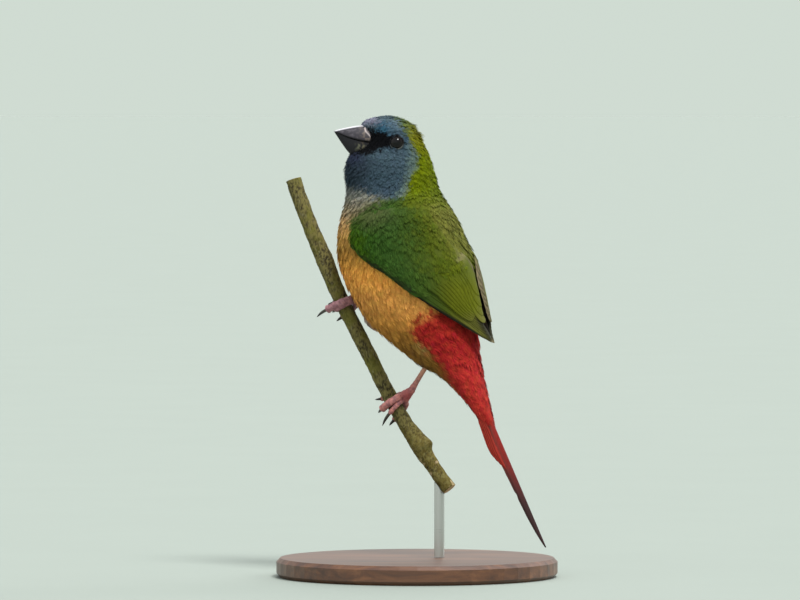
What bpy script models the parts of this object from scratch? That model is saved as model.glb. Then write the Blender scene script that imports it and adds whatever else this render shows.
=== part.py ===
"""A life-size male pin-tailed parrotfinch that grips a cut length of branch on a small display stand.

Sizes are in millimetres, and are scaled to metres where a mesh is made. The bird is drawn
in its own mid-plane: x runs back towards the tail, y to its right, and z is the height
above the floor, with the neck's axis at x = y = 0. pose() then turns the whole bird about
that axis, and the head back the other way, and puts it over the stand.
"""

import math

import bmesh
import bpy
import numpy as np
from mathutils import Matrix, Vector

MM = 0.001
GAP = 0.3

# The pose, in degrees and millimetres
BODY_YAW = 22.0
HEAD_YAW = -10.0
TWIST_FROM = 112.0
TWIST_TO = 131.0
NECK_AT = (-7.5, 4.0)

# The body, from crown to tail coverts: the front and back of its outline as (x, z), half
# its width, and how much narrower it is in front than behind
BODY = {
    "crown": ((-1.6, 144.3), (-1.3, 144.3), 0.1, 0.0),
    "cap": ((-6.6, 143.4), (3.5, 143.1), 5.1, 0.0),
    "forehead": ((-8.5, 141.7), (5.9, 141.2), 7.1, 0.06),
    "lores": ((-8.9, 138.6), (7.9, 138.2), 8.6, 0.14),
    "eye": ((-9.8, 135.1), (9.8, 135.0), 9.2, 0.18),
    "chin": ((-13.3, 132.0), (11.3, 132.0), 9.4, 0.2),
    "throat": ((-14.8, 128.2), (12.6, 128.2), 9.7, 0.12),
    "nape": ((-14.8, 124.2), (13.7, 124.2), 10.2, 0.06),
    "neck": ((-14.8, 120.2), (14.9, 120.4), 11.0, 0.04),
    "collar": ((-15.8, 116.0), (17.0, 117.6), 12.2, 0.04),
    "breast": ((-17.3, 110.4), (20.3, 113.1), 13.8, 0.04),
    "shoulder": ((-18.1, 104.0), (23.0, 107.6), 15.0, 0.04),
    "keel": ((-17.5, 97.6), (24.9, 102.4), 15.6, 0.03),
    "mid_back": ((-15.4, 91.6), (26.1, 97.7), 15.7, 0.02),
    "belly": ((-12.3, 86.0), (26.6, 93.4), 15.4, 0.0),
    "flank": ((-8.2, 80.6), (26.9, 89.0), 14.8, -0.02),
    "loin": ((-2.9, 75.4), (27.3, 84.4), 13.7, -0.04),
    "rump": ((3.6, 70.6), (27.8, 79.4), 12.1, -0.05),
    "vent": ((10.0, 66.8), (28.2, 74.4), 10.3, -0.05),
    "tail_root": ((15.4, 63.4), (28.7, 69.6), 8.6, -0.05),
    "covert_1": ((20.2, 59.6), (29.6, 64.6), 7.0, 0.0),
    "covert_2": ((25.0, 54.8), (31.0, 58.6), 5.5, 0.0),
    "covert_3": ((29.2, 50.0), (32.6, 52.4), 3.6, 0.0),
    "covert_4": ((32.3, 45.4), (33.6, 46.4), 1.2, 0.0),
}
BODY_NAMES = list(BODY)
HEAD_END = BODY_NAMES.index("nape") + 0.2
NECK_END = BODY_NAMES.index("collar") + 0.5
TORSO_END = BODY_NAMES.index("tail_root") + 0.3
COVERTS_END = BODY_NAMES.index("covert_4")
BODY_COLUMNS = 26

# Where the thighs fill the belly: centre, reach and how far they push it out
THIGHS = (
    ((-8.0, 4.0, 79.5), 4.2, (-4.1, 0.8, -0.9)),
    ((12.0, -6.5, 69.5), 5.0, (-0.3, -0.8, -1.1)),
)

# The surface that the folded wings lie on, in the same form as the body
MANTLE = {
    "collar": ((-15.9, 116.4), (17.3, 118.3), 12.7, 0.04),
    "breast": ((-17.2, 110.5), (21.0, 113.4), 14.9, 0.04),
    "shoulder": ((-18.0, 104.0), (23.9, 107.6), 16.6, 0.04),
    "keel": ((-17.4, 97.5), (26.1, 102.2), 17.4, 0.03),
    "mid_back": ((-15.3, 91.6), (27.9, 97.2), 17.6, 0.02),
    "belly": ((-12.2, 86.0), (29.4, 92.2), 17.2, 0.0),
    "flank": ((-8.2, 80.5), (30.7, 87.2), 16.0, 0.0),
    "loin": ((-2.8, 75.3), (32.0, 82.1), 14.2, 0.0),
    "rump": ((5.0, 70.2), (33.3, 78.0), 11.4, 0.0),
    "tip": ((13.0, 66.2), (34.8, 74.0), 8.6, 0.0),
    "beyond": ((20.0, 62.4), (37.0, 69.6), 6.0, 0.0),
}

# The folded wing's lower edge and top edge: levels on the mantle, and degrees round it
# from the front
WING_LOW = ((0.3, 122), (0.6, 98), (1, 77), (1.5, 62), (2, 56), (2.5, 58), (3, 64), (3.6, 75),
            (4.6, 90), (6.35, 112), (7.45, 132), (8.35, 147), (9, 168))
WING_TOP = ((0.3, 138), (1, 141), (2, 149), (3, 160), (4, 171), (5, 177), (9, 177))
# Where the primaries end, from the lowest up: level, and share of the way to the top edge
PRIMARY_TIPS = ((8.65, 0.1), (8.95, 0.3), (8.8, 0.48), (8.45, 0.56), (8.05, 0.6), (7.7, 0.64),
                (7.4, 0.68))
MIDLINE_CLEAR = 0.45
VANE_THICK = 0.6
SHINGLE = 0.25

EYE_AT = (-0.6, 135.5)
EYE_RADIUS = 2.5
EYE_DEPTH = 1.9
LID_RADIUS = 2.2
LID_THICK = 0.4

# The tail, from its root under the coverts to its tip, as (x, z)
TAIL_ROOT = (28.0, 60.4)
TAIL_TIP = (51.2, 10.2)
# Its feathers in pairs from the top down: length, and half the width of a vane
TAIL_PAIRS = ((55.4, 2.4), (33.5, 2.6), (32.0, 2.8), (30.5, 2.9), (29.0, 2.9), (27.4, 2.8))

# The bill, from inside the head to its tip: x, height of the culmen, of the gape line and
# of the lowest edge, and half the width
BILL = (
    (-3.5, 140.6, 135.6, 130.6, 3.3),
    (-7.4, 141.3, 135.9, 130.8, 3.8),
    (-9.4, 141.2, 136.1, 131.0, 3.6),
    (-11.4, 141.0, 136.5, 131.3, 3.2),
    (-13.2, 140.7, 137.0, 132.3, 2.7),
    (-14.8, 140.4, 137.5, 134.0, 2.15),
    (-16.2, 140.1, 138.1, 135.7, 1.55),
    (-17.5, 139.8, 138.7, 137.3, 0.95),
    (-18.7, 139.4, 139.1, 138.8, 0.3),
)

# The perch, from its cut lower end up: centre x and z, and radius
PERCH = (
    (19.0, 27.6, 2.25),
    (16.2, 31.0, 2.2),
    (13.2, 35.0, 2.3),
    (10.7, 38.4, 2.7),
    (9.2, 41.2, 3.1),
    (7.6, 43.6, 2.8),
    (5.0, 47.4, 2.4),
    (0.7, 54.6, 2.3),
    (-3.1, 61.8, 2.25),
    (-8.7, 72.2, 2.4),
    (-13.1, 79.8, 2.45),
    (-16.9, 86.8, 2.45),
    (-20.0, 93.4, 2.6),
    (-22.0, 98.2, 2.85),
    (-24.0, 102.4, 2.6),
    (-27.8, 110.9, 2.45),
    (-31.6, 119.6, 2.4),
    (-33.2, 124.0, 2.4),
)

# Each foot: the height where it grips the perch, its ankle, and its toes. A toe wraps the
# perch from one angle to another, counted from the bird's side of it towards the bird's
# left, and slides down the perch from one distance to another. Then it runs straight on.
# The last three numbers are the straight run, the toe's thickness and the claw's length.
FEET = {
    "left": (54.4, (15.0, -4.2, 69.6), {
        "front": (15, 132, 0.0, 0.2, 1.4, 0.92, 3.2),
        "outer": (8, 138, 1.2, 3.6, 0.5, 0.85, 3.6),
        "inner": (-8, -150, -0.8, -3.0, 0.5, 0.8, 2.6),
        "hind": (-16, -150, 1.8, 5.0, 0.4, 0.92, 3.6),
    }),
    "right": (84.8, (-8.4, 4.8, 79.2), {
        "front": (15, 112, 0.0, -0.5, 3.8, 0.92, 4.2),
        "inner": (8, 160, 1.2, 2.6, 0.3, 0.85, 2.0),
        "outer": (-8, -146, -0.8, -2.4, 0.5, 0.8, 2.8),
        "hind": (-16, -150, 1.6, 4.0, 0.4, 0.92, 3.0),
    }),
}

BASE_RADIUS = 44.0
BASE_HEIGHT = 6.0
BASE_BEVEL = 1.2
ROD_RADIUS = 1.6
ROD_X = 15.6

# Colour, roughness and metallic value of each kind of surface
LOOKS = {
    "blue": ((0.05, 0.11, 0.24), 0.7, 0.0),
    "green": ((0.08, 0.20, 0.02), 0.7, 0.0),
    "buff": ((0.56, 0.29, 0.09), 0.8, 0.0),
    "red": ((0.48, 0.02, 0.02), 0.7, 0.0),
    "bill": ((0.035, 0.032, 0.04), 0.35, 0.0),
    "eye": ((0.012, 0.006, 0.004), 0.05, 0.0),
    "skin": ((0.42, 0.20, 0.21), 0.6, 0.0),
    "claw": ((0.06, 0.05, 0.045), 0.4, 0.0),
    "bark": ((0.13, 0.11, 0.045), 0.9, 0.0),
    "wood": ((0.10, 0.05, 0.025), 0.45, 0.0),
    "steel": ((0.50, 0.50, 0.50), 0.3, 1.0),
}


def smooth(x):
    """0 below 0, 1 above 1, and a smooth ramp between."""
    x = np.clip(x, 0.0, 1.0)
    return x * x * (3 - 2 * x)


def unit(vector):
    return vector / np.linalg.norm(vector)


def turned(points, degrees):
    """Points turned about the vertical through the neck, with the tail coming forward."""
    points = np.atleast_2d(np.asarray(points, float))
    angles = np.radians(degrees)
    c, s = np.cos(angles), np.sin(angles)
    x, y, z = points.T
    return np.stack([c * x + s * y + NECK_AT[0], c * y - s * x + NECK_AT[1], z], axis=1)


def pose(points):
    """Points of the straight bird as they stand in the pose, with the neck's twist."""
    points = np.atleast_2d(np.asarray(points, float))
    share = smooth((points[:, 2] - TWIST_FROM) / (TWIST_TO - TWIST_FROM))
    return turned(points, BODY_YAW + (HEAD_YAW - BODY_YAW) * share)


def pose_body(points):
    """The same without the twist, for the perch that the bird stands along."""
    return turned(points, BODY_YAW)


class Loft:
    """A smooth closed surface through named sections, each a slice from front to back."""

    def __init__(self, sections, bumps=()):
        rows = [(*front, *back, width, taper) for front, back, width, taper in sections.values()]
        self.rows = np.array(rows, float)
        self.last = len(rows) - 1
        self.bumps = [(np.array(centre), reach, np.array(push)) for centre, reach, push in bumps]

    def section(self, t):
        """Front (x, z), back (x, z), half width and taper at t, by a Catmull-Rom curve."""
        t = min(max(t, 0.0), float(self.last))
        i = min(int(t), self.last - 1)
        u = t - i
        p1, p2 = self.rows[i], self.rows[i + 1]
        p0 = self.rows[i - 1] if i > 0 else 2 * p1 - p2
        p3 = self.rows[i + 2] if i + 2 <= self.last else 2 * p2 - p1
        bend = 2 * p0 - 5 * p1 + 4 * p2 - p3
        row = p1 + 0.5 * u * (p2 - p0 + u * (bend + u * (3 * (p1 - p2) + p3 - p0)))
        return row[0:2], row[2:4], max(row[4], 0.05), row[5]

    def surface(self, t, angle):
        """The point at a level and an angle from the front, positive on the bird's left."""
        front, back, width, taper = self.section(t)
        middle, half = (front + back) / 2, (front - back) / 2
        x, z = middle + half * math.cos(angle)
        point = np.array([x, -width * math.sin(angle) * (1 - taper * math.cos(angle)), z])
        for centre, reach, push in self.bumps:
            point = point + push * math.exp(-np.sum((point - centre) ** 2) / reach**2)
        return point

    def tangents(self, t, angle):
        """How the point moves with the level and with the angle."""
        step = 0.02
        t = min(max(t, 0.12), self.last - step)
        along = self.surface(t + step, angle) - self.surface(t - step, angle)
        around = self.surface(t, angle + step) - self.surface(t, angle - step)
        return along / (2 * step), around / (2 * step)

    def normal(self, t, angle):
        return unit(np.cross(*self.tangents(t, angle)))

    def point(self, t, angle, lift=0.0):
        return self.surface(t, angle) + lift * self.normal(t, angle)

    def moved(self, t, angle, step):
        """The level and angle after a small step in space along the surface."""
        frame = np.stack(self.tangents(t, angle), axis=1)
        dt, da = np.linalg.lstsq(frame, step, rcond=None)[0]
        return t + dt, angle + da

    def level(self, x, z):
        """The level of the slice that (x, z) lies in."""
        levels = np.linspace(0, self.last, 12 * self.last + 1)
        ends = [self.section(t)[:2] for t in levels]
        side = [(b[0] - f[0]) * (z - f[1]) - (b[1] - f[1]) * (x - f[0]) for f, b in ends]
        for i in range(len(side) - 1):
            if side[i] <= 0 < side[i + 1]:
                share = side[i] / (side[i] - side[i + 1])
                return levels[i] + share * (levels[i + 1] - levels[i])
        return 0.0 if side[0] > 0 else float(self.last)

    def from_side(self, x, z):
        """The level and angle of the point that shows at (x, z) from the bird's left."""
        t = self.level(x, z)
        front, back = self.section(t)[:2]
        half = (front - back) / 2
        share = np.dot(np.array([x, z]) - (front + back) / 2, half) / np.dot(half, half)
        return t, math.acos(min(max(share, -1), 1))


body = Loft(BODY, THIGHS)
mantle = Loft(MANTLE)


def level_step(t, distance):
    """How far the level moves for a distance along the body's axis."""
    (f0, b0), (f1, b1) = body.section(t)[:2], body.section(t + 0.1)[:2]
    return 0.1 * distance / np.linalg.norm((f1 + b1 - f0 - b0) / 2)


# The slices that each length of the body is made of
BODY_LEVELS = {
    "head": np.concatenate([[0, 0.25, 0.6], np.linspace(1.0, HEAD_END, 15)]),
    "neck": np.linspace(HEAD_END + level_step(HEAD_END, GAP), NECK_END, 5),
    "torso": np.linspace(NECK_END + level_step(NECK_END, GAP), TORSO_END, 20),
    "tail": np.linspace(TORSO_END + level_step(TORSO_END, GAP), COVERTS_END, 8),
}


def link(name, mesh):
    obj = bpy.data.objects.new(name, mesh)
    bpy.context.scene.collection.objects.link(obj)
    return obj


def clean(mesh, weld=1e-6):
    """Welds a mesh's doubled points, splits its faces into triangles and turns them out."""
    work = bmesh.new()
    work.from_mesh(mesh)
    bmesh.ops.remove_doubles(work, verts=work.verts, dist=weld)
    bmesh.ops.recalc_face_normals(work, faces=work.faces)
    bmesh.ops.triangulate(work, faces=work.faces)
    work.to_mesh(mesh)
    work.free()


def new_object(name, points, faces):
    """A mesh object from points in millimetres."""
    mesh = bpy.data.meshes.new(name)
    mesh.from_pydata([Vector(p) * MM for p in np.asarray(points, float)], [], faces)
    clean(mesh)
    return link(name, mesh)


def evaluated_mesh(obj):
    bpy.context.view_layer.update()
    graph = bpy.context.evaluated_depsgraph_get()
    return bpy.data.meshes.new_from_object(obj.evaluated_get(graph))


def apply_modifiers(obj):
    mesh = evaluated_mesh(obj)
    obj.modifiers.clear()
    obj.data = mesh


def rings_solid(name, rings):
    """A closed tube through rings with equal numbers of points, flat at both ends."""
    count = len(rings[0])
    last = (len(rings) - 1) * count
    faces = [tuple(range(count)), tuple(last + i for i in range(count))]
    for r in range(len(rings) - 1):
        for i in range(count):
            j = (i + 1) % count
            low, high = r * count, (r + 1) * count
            faces.append((low + i, low + j, high + j, high + i))
    return new_object(name, np.concatenate(rings), faces)


def slab(top, under):
    """Points and faces of a thin solid between two like grids, split alike on both faces."""
    top, under = np.array(top), np.array(under)
    rows, columns = top.shape[:2]
    points = np.concatenate([top.reshape(-1, 3), under.reshape(-1, 3)])
    offset = rows * columns
    faces = []
    for r in range(rows - 1):
        for c in range(columns - 1):
            a, b = r * columns + c, r * columns + c + 1
            d, e = a + columns, b + columns
            for triangle in ((a, b, e), (a, e, d)):
                faces.append(triangle)
                faces.append(tuple(offset + i for i in reversed(triangle)))
    edge = [r * columns for r in range(rows - 1)]
    edge += [(rows - 1) * columns + c for c in range(columns - 1)]
    edge += [r * columns + columns - 1 for r in range(rows - 1, 0, -1)]
    edge += [c for c in range(columns - 1, 0, -1)]
    for i, here in enumerate(edge):
        there = edge[(i + 1) % len(edge)]
        faces.append((here, there, there + offset))
        faces.append((here, there + offset, here + offset))
    return points, faces


def tube(name, path, radii, sides=8, place=pose):
    """A round rod of changing radius along a path, with welded caps."""
    curve = bpy.data.curves.new(name, "CURVE")
    curve.dimensions = "3D"
    curve.use_fill_caps = True
    curve.bevel_depth = MM
    curve.bevel_resolution = (sides - 4) // 2
    line = curve.splines.new("POLY")
    line.points.add(len(path) - 1)
    for knot, p, r in zip(line.points, place(path), radii):
        knot.co = (*(p * MM), 1)
        knot.radius = r
    holder = link(name, curve)
    mesh = evaluated_mesh(holder)
    bpy.data.objects.remove(holder)
    clean(mesh)
    return link(name, mesh)


def union(pieces):
    """All the pieces as one mesh, in the first one's object."""
    group = bpy.data.collections.new("pieces")
    bpy.context.scene.collection.children.link(group)
    for piece in pieces[1:]:
        group.objects.link(piece)
    join = pieces[0].modifiers.new("join", "BOOLEAN")
    join.operation = "UNION"
    join.operand_type = "COLLECTION"
    join.collection = group
    join.solver = "MANIFOLD"
    apply_modifiers(pieces[0])
    for piece in pieces[1:]:
        bpy.data.objects.remove(piece)
    bpy.data.collections.remove(group)
    return pieces[0]


def cut(obj, *cutters):
    """Takes the cutters out of obj, and then out of the scene."""
    for cutter in cutters:
        bite = obj.modifiers.new("cut", "BOOLEAN")
        bite.operation = "DIFFERENCE"
        bite.object = cutter
        bite.solver = "MANIFOLD"
        apply_modifiers(obj)
        bpy.data.objects.remove(cutter)
    return obj


def enclosed(faces):
    """Six times the signed volume inside some triangles."""
    return sum(f.verts[0].co.dot(f.verts[1].co.cross(f.verts[2].co)) for f in faces)


def keep_largest(obj):
    """Leaves the closed surface that encloses most, without loose scraps or sealed hollows."""
    work = bmesh.new()
    work.from_mesh(obj.data)
    bmesh.ops.triangulate(work, faces=work.faces)
    unseen, islands = set(work.faces), []
    while unseen:
        edge_of_search, island = [unseen.pop()], []
        while edge_of_search:
            face = edge_of_search.pop()
            island.append(face)
            near = {f for e in face.edges for f in e.link_faces} & unseen
            unseen -= near
            edge_of_search.extend(near)
        islands.append(island)
    largest = max(islands, key=enclosed)
    spare = [f for island in islands if island is not largest for f in island]
    bmesh.ops.delete(work, geom=spare, context="FACES")
    work.to_mesh(obj.data)
    work.free()
    return obj


def finish(obj, name, look):
    """Names a node, files it with the others and gives it its material."""
    obj.name = obj.data.name = name
    colour, roughness, metallic = LOOKS[look]
    material = bpy.data.materials.get(look) or bpy.data.materials.new(look)
    material.use_nodes = True
    shader = material.node_tree.nodes["Principled BSDF"]
    shader.inputs["Base Color"].default_value = (*colour, 1)
    shader.inputs["Roughness"].default_value = roughness
    shader.inputs["Metallic"].default_value = metallic
    obj.data.materials.clear()
    obj.data.materials.append(material)
    obj.data.shade_smooth()
    obj.data.set_sharp_from_angle(angle=math.radians(40))
    for group in list(obj.users_collection):
        group.objects.unlink(obj)
    bpy.data.collections["parrotfinch"].objects.link(obj)
    obj.parent = bpy.data.objects["placing"]
    return obj


def body_solid(name, levels, lift=0.0):
    """The body through some of its slices, as a solid with flat ends."""
    angles = [2 * math.pi * i / BODY_COLUMNS for i in range(BODY_COLUMNS)]
    return rings_solid(name, [pose([body.point(t, a, lift) for a in angles]) for t in levels])


def body_cutter():
    """The whole body from crown to coverts, grown by the gap that its neighbours keep."""
    levels = np.concatenate(list(BODY_LEVELS.values()))[1:]
    return body_solid("cutter", levels, lift=GAP)


def wing_angle(t, q):
    """Radians round the mantle at a level, with q from the wing's lower edge to its top edge."""
    low, top = np.interp(t, *zip(*WING_LOW)), np.interp(t, *zip(*WING_TOP))
    return math.radians(low + (top - low) * q)


def vane_outline(share, round_from):
    """A vane's width along its length: narrower at the root, rounded off towards the tip."""
    past = max(share - round_from, 0.0) / (1 - round_from)
    return max((0.6 + 0.4 * smooth(share / 0.4)) * math.sqrt(1 - past**2), 0.14)


def wing_vane(root, tip, width, lift, stations=4, round_from=0.6, sink=0.8):
    """A feather that lies along the mantle, its lower edge proud and its upper edge tucked in."""
    shares = [1 - (1 - i / (stations - 1)) ** 1.4 for i in range(stations)]
    spine = []
    for share in shares:
        t, q = np.array(root) + (np.array(tip) - np.array(root)) * share
        spine.append((t, wing_angle(t, q)))
    top, under = [], []
    for i, ((t, angle), share) in enumerate(zip(spine, shares)):
        ahead = mantle.surface(*spine[min(i + 1, stations - 1)]) - mantle.surface(*spine[max(i - 1, 0)])
        side = unit(np.cross(mantle.normal(t, angle), ahead))
        side *= math.copysign(1, np.dot(side, mantle.tangents(t, angle)[1]))
        half = 0.5 * width * vane_outline(share, round_from)
        here = lift - sink * max(1 - share / 0.35, 0.0) + 0.15 * share
        thick = VANE_THICK * (1 - 0.4 * share**3)
        row = []
        for column in (-1, 0, 1):
            level, turn = mantle.moved(t, angle, side * half * column)
            level = min(level, mantle.last - 0.6)
            widest = math.pi - math.asin(MIDLINE_CLEAR / mantle.section(level)[2])
            row.append((level, min(turn, widest), here - SHINGLE * column))
        top.append([mantle.point(*spot) for spot in row])
        under.append([mantle.point(level, turn, high - thick) for level, turn, high in row])
    return slab(top, under)


def wing_vanes():
    """The folded wing's tiers of feathers, each from its lowest feather to its top one."""
    vanes = []
    for i, (tip_t, tip_q) in enumerate(PRIMARY_TIPS):
        root = (3.3 + 0.1 * i, 0.06 + 0.05 * i)
        vanes.append(wing_vane(root, (tip_t, tip_q), 4.2, -1.2 + 0.1 * i, 6, 0.5))
    for i in range(4):
        root, tip = (3.4 - 0.1 * i, 0.36 + 0.1 * i), (7.1 - 0.16 * i, 0.5 + 0.09 * i)
        vanes.append(wing_vane(root, tip, 5.4, -0.6 + 0.06 * i, 5, 0.75))
    for i, tip in enumerate(((7.4, 0.84), (6.75, 0.9), (6.05, 0.94))):
        root = (3.2 - 0.3 * i, 0.8 + 0.06 * i)
        vanes.append(wing_vane(root, tip, 7.4, -0.25 + 0.12 * i, 5, 0.65))
    for i in range(2):
        root, tip = (2.9 + 0.1 * i, 0.12 + 0.07 * i), (4.9 - 0.2 * i, 0.16 + 0.07 * i)
        vanes.append(wing_vane(root, tip, 3.4, -0.6))
    for i in range(7):
        root, tip = (2.5 - 0.04 * i, 0.15 + 0.095 * i), (4.35 - 0.05 * i, 0.22 + 0.09 * i)
        vanes.append(wing_vane(root, tip, 5.2, -0.3 + 0.03 * i))
    for i in range(6):
        root, tip = (1.5 - 0.03 * i, 0.12 + 0.13 * i), (3.0 - 0.04 * i, 0.12 + 0.13 * i)
        vanes.append(wing_vane(root, tip, 6.0, -0.2))
    for i in range(3):
        root, tip = (1.4 + 0.7 * i, 0.88), (3.5 + 0.9 * i, 0.9)
        vanes.append(wing_vane(root, tip, 6.8, 0.05))
    return vanes


def wing_arm(rows=10, columns=7):
    """The covered arm of the wing: a pad on the body that all its feathers root in."""
    top, under = [], []
    for i in range(rows):
        t = 0.8 + 4.5 * i / (rows - 1)
        sunk = -0.55 - 0.6 * smooth((t - 3.2) / 2)
        thick = 2.4 - 1.6 * smooth((t - 3.6) / 1.6)
        spots = []
        for j in range(columns):
            q = 0.02 + 0.96 * j / (columns - 1)
            edge = 0.3 if j in (0, columns - 1) else 0.0
            spots.append((t, wing_angle(t, q), sunk - edge))
        top.append([mantle.point(*spot) for spot in spots])
        under.append([mantle.point(t, angle, high - thick) for t, angle, high in spots])
    return slab(top, under)


def make_wings():
    shapes = [wing_arm(), *wing_vanes()]
    for name, side in (("wing_left", 1), ("wing_right", -1)):
        pieces = [new_object("piece", pose(points * (1, side, 1)), faces) for points, faces in shapes]
        wing = cut(union(pieces), body_cutter())
        finish(keep_largest(wing), name, "green")


def tail_axes():
    """Unit vectors along the tail and out of its upper face."""
    along = unit(np.array([TAIL_TIP[0] - TAIL_ROOT[0], 0, TAIL_TIP[1] - TAIL_ROOT[1]]))
    return along, np.array([-along[2], 0, along[0]])


def tail_vane(length, half, side, layer):
    """One of a pair of tail feathers. The pins on top are drawn out to fine points."""
    along, out = tail_axes()
    root = np.array([TAIL_ROOT[0], 0, TAIL_ROOT[1]])
    stations = 10 if layer == 0 else 6
    top, under = [], []
    for i in range(stations):
        share = i / (stations - 1) if layer == 0 else 1 - (1 - i / (stations - 1)) ** 1.4
        if layer == 0:
            width = half * (1 - 0.5 * smooth(share / 0.75)) * (1 - 0.85 * smooth((share - 0.72) / 0.28))
            middle = side * 0.55 * (1 - 0.9 * share)
        else:
            width = half * vane_outline(share, 0.72)
            middle = side * (0.9 + 0.42 * layer * (0.35 + 0.65 * share))
        depth = 0.12 * side - 0.36 * layer
        thick = VANE_THICK * (1 - 0.35 * share**3)
        row = []
        for column in (-1, 0, 1):
            y = middle + column * width
            camber = 0.04 * column * column * half
            row.append(root + along * length * share + out * (depth - camber) + np.array([0, y, 0]))
        top.append(row)
        under.append([p - out * thick for p in row])
    return slab(top, under)


def covert_vane(angle, start, end, width, lift=0.0):
    """A pointed covert that lies on the root of the tail, at an angle from the front."""
    top, under = [], []
    for share in (0.0, 0.4, 0.78, 1.0):
        t = start + (end - start) * share
        half = 0.5 * width * vane_outline(share, 0.5)
        rise = lift - 0.6 * max(1 - share / 0.3, 0.0)
        thick = VANE_THICK * (1 - 0.3 * share**3)
        spots = [body.moved(t, angle, unit(body.tangents(t, angle)[1]) * half * c) for c in (-1, 0, 1)]
        highs = [rise - 0.12 * c * c for c in (-1, 0, 1)]
        top.append([body.point(*spot, high) for spot, high in zip(spots, highs)])
        under.append([body.point(*spot, high - thick) for spot, high in zip(spots, highs)])
    return slab(top, under)


def make_tail():
    """The tail feathers, fanned in pairs out of one cone of coverts."""
    cone = body_solid("cone", BODY_LEVELS["tail"])
    shapes = [
        tail_vane(length, half, side, layer)
        for layer, (length, half) in enumerate(TAIL_PAIRS)
        for side in (-1, 1)
    ]
    first = TORSO_END + 0.25
    for degrees, reach in ((180, 3.35), (150, 3.1), (-150, 3.1), (118, 2.8), (-118, 2.8)):
        shapes.append(covert_vane(math.radians(degrees), first, first + reach, 4.4, 0.35))
    for degrees, reach in ((0, 3.2), (34, 2.9), (-34, 2.9), (76, 2.6), (-76, 2.6)):
        shapes.append(covert_vane(math.radians(degrees), first, first + reach, 4.4, 0.3))
    pieces = [cone, *[new_object("piece", pose(points), faces) for points, faces in shapes]]
    finish(keep_largest(union(pieces)), "tail", "red")


def bill_ring(x, edge, peak, half, arc=8):
    """A D-shaped slice of one half of the bill, flat at the gape and ridged at its peak."""
    ring = []
    for i in range(arc + 1):
        angle = math.pi * i / arc
        side = math.cos(angle) * (1 - 0.12 * math.sin(angle))
        ring.append((x, half * side, edge + (peak - edge) * math.sin(angle) ** 0.85))
    ring.append((x, 0.0, edge))
    return pose(ring)


def make_bill():
    head_side = {"upper": [], "lower": []}
    for x, culmen, gape, low, half in BILL:
        head_side["upper"].append(bill_ring(x, gape + GAP / 2, culmen, half))
        head_side["lower"].append(bill_ring(x + 0.25, gape - GAP / 2, low, 0.93 * half))
    nostrils = [
        tube("nostril", [(-9.2, side * 1.4, 139.8), (-9.6, side * 4.0, 140.3)], [0.42, 0.42])
        for side in (-1, 1)
    ]
    upper = cut(rings_solid("upper", head_side["upper"]), *nostrils, body_cutter())
    lower = cut(rings_solid("lower", head_side["lower"]), body_cutter())
    finish(keep_largest(upper), "bill_upper", "bill")
    finish(keep_largest(lower), "bill_lower", "bill")


def eye_frame(side):
    """The middle of an eyeball in the pose, and a turn whose z looks out of it."""
    t, angle = body.from_side(*EYE_AT)
    flip = np.array([1, -side, 1])
    out = body.normal(t, angle)
    middle = (body.point(t, angle) - out * EYE_DEPTH) * flip
    start, end = pose([middle, middle + out * flip])
    return Vector(start) * MM, Vector(end - start).to_track_quat("Z", "Y")


def ball(name, side, radius):
    middle, _ = eye_frame(side)
    bpy.ops.mesh.primitive_uv_sphere_add(segments=16, ring_count=8, radius=radius * MM, location=middle)
    obj = bpy.context.active_object
    obj.name = name
    return obj


def lid(side):
    """The hoop of bare lid round an eye."""
    middle, turn = eye_frame(side)
    rise = turn @ Vector((0, 0, (EYE_DEPTH - 0.2) * MM))
    bpy.ops.mesh.primitive_torus_add(
        major_radius=LID_RADIUS * MM,
        minor_radius=LID_THICK * MM,
        major_segments=18,
        minor_segments=5,
        location=middle + rise,
        rotation=turn.to_euler(),
    )
    return bpy.context.active_object


def make_head():
    head = union([body_solid("head", BODY_LEVELS["head"]), lid(-1), lid(1)])
    cut(head, *[ball("socket", side, EYE_RADIUS + GAP) for side in (-1, 1)])
    finish(keep_largest(head), "head", "blue")
    for side, name in ((-1, "eye_left"), (1, "eye_right")):
        finish(ball(name, side, EYE_RADIUS), name, "eye")


def make_trunk():
    finish(body_solid("neck", BODY_LEVELS["neck"]), "neck", "green")
    finish(body_solid("torso", BODY_LEVELS["torso"]), "torso", "buff")


def perch_tube(name, grown=0.0):
    path = [(x, 0, z) for x, z, _ in PERCH]
    return tube(name, path, [radius + grown for *_, radius in PERCH], 12, pose_body)


def perch_frame(z):
    """At a height: the perch's centre, its way down, its way to the bird, and its radius."""
    xs, heights, radii = zip(*PERCH)
    x, x_below = np.interp([z, z - 3], heights, xs)
    down = unit(np.array([x_below - x, 0, -3]))
    return np.array([x, 0, z]), down, np.array([-down[2], 0, down[0]]), np.interp(z, heights, radii)


def beside_perch(z, along, degrees, clear):
    """A point that far along the perch from a height, at an angle round it, clear of its bark."""
    centre, down = perch_frame(z)[:2]
    centre, down, out, radius = perch_frame((centre + down * along)[2])
    a = math.radians(degrees)
    return centre + (out * math.cos(a) - np.array([0, 1, 0]) * math.sin(a)) * (radius + clear)


def toe_path(grip, start, release, along_start, along_end, run, thick, steps=6):
    """Round the perch to where the toe lets go of it, and then straight on."""
    path = []
    for i in range(steps):
        share = i / (steps - 1)
        degrees = start + (release - start) * share
        along = along_start + (along_end - along_start) * share
        path.append(beside_perch(grip, along, degrees, GAP + thick + 0.15))
    ahead = unit(path[-1] - path[-2])
    return path + [path[-1] + ahead * run * share for share in (0.5, 1.0)]


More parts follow.
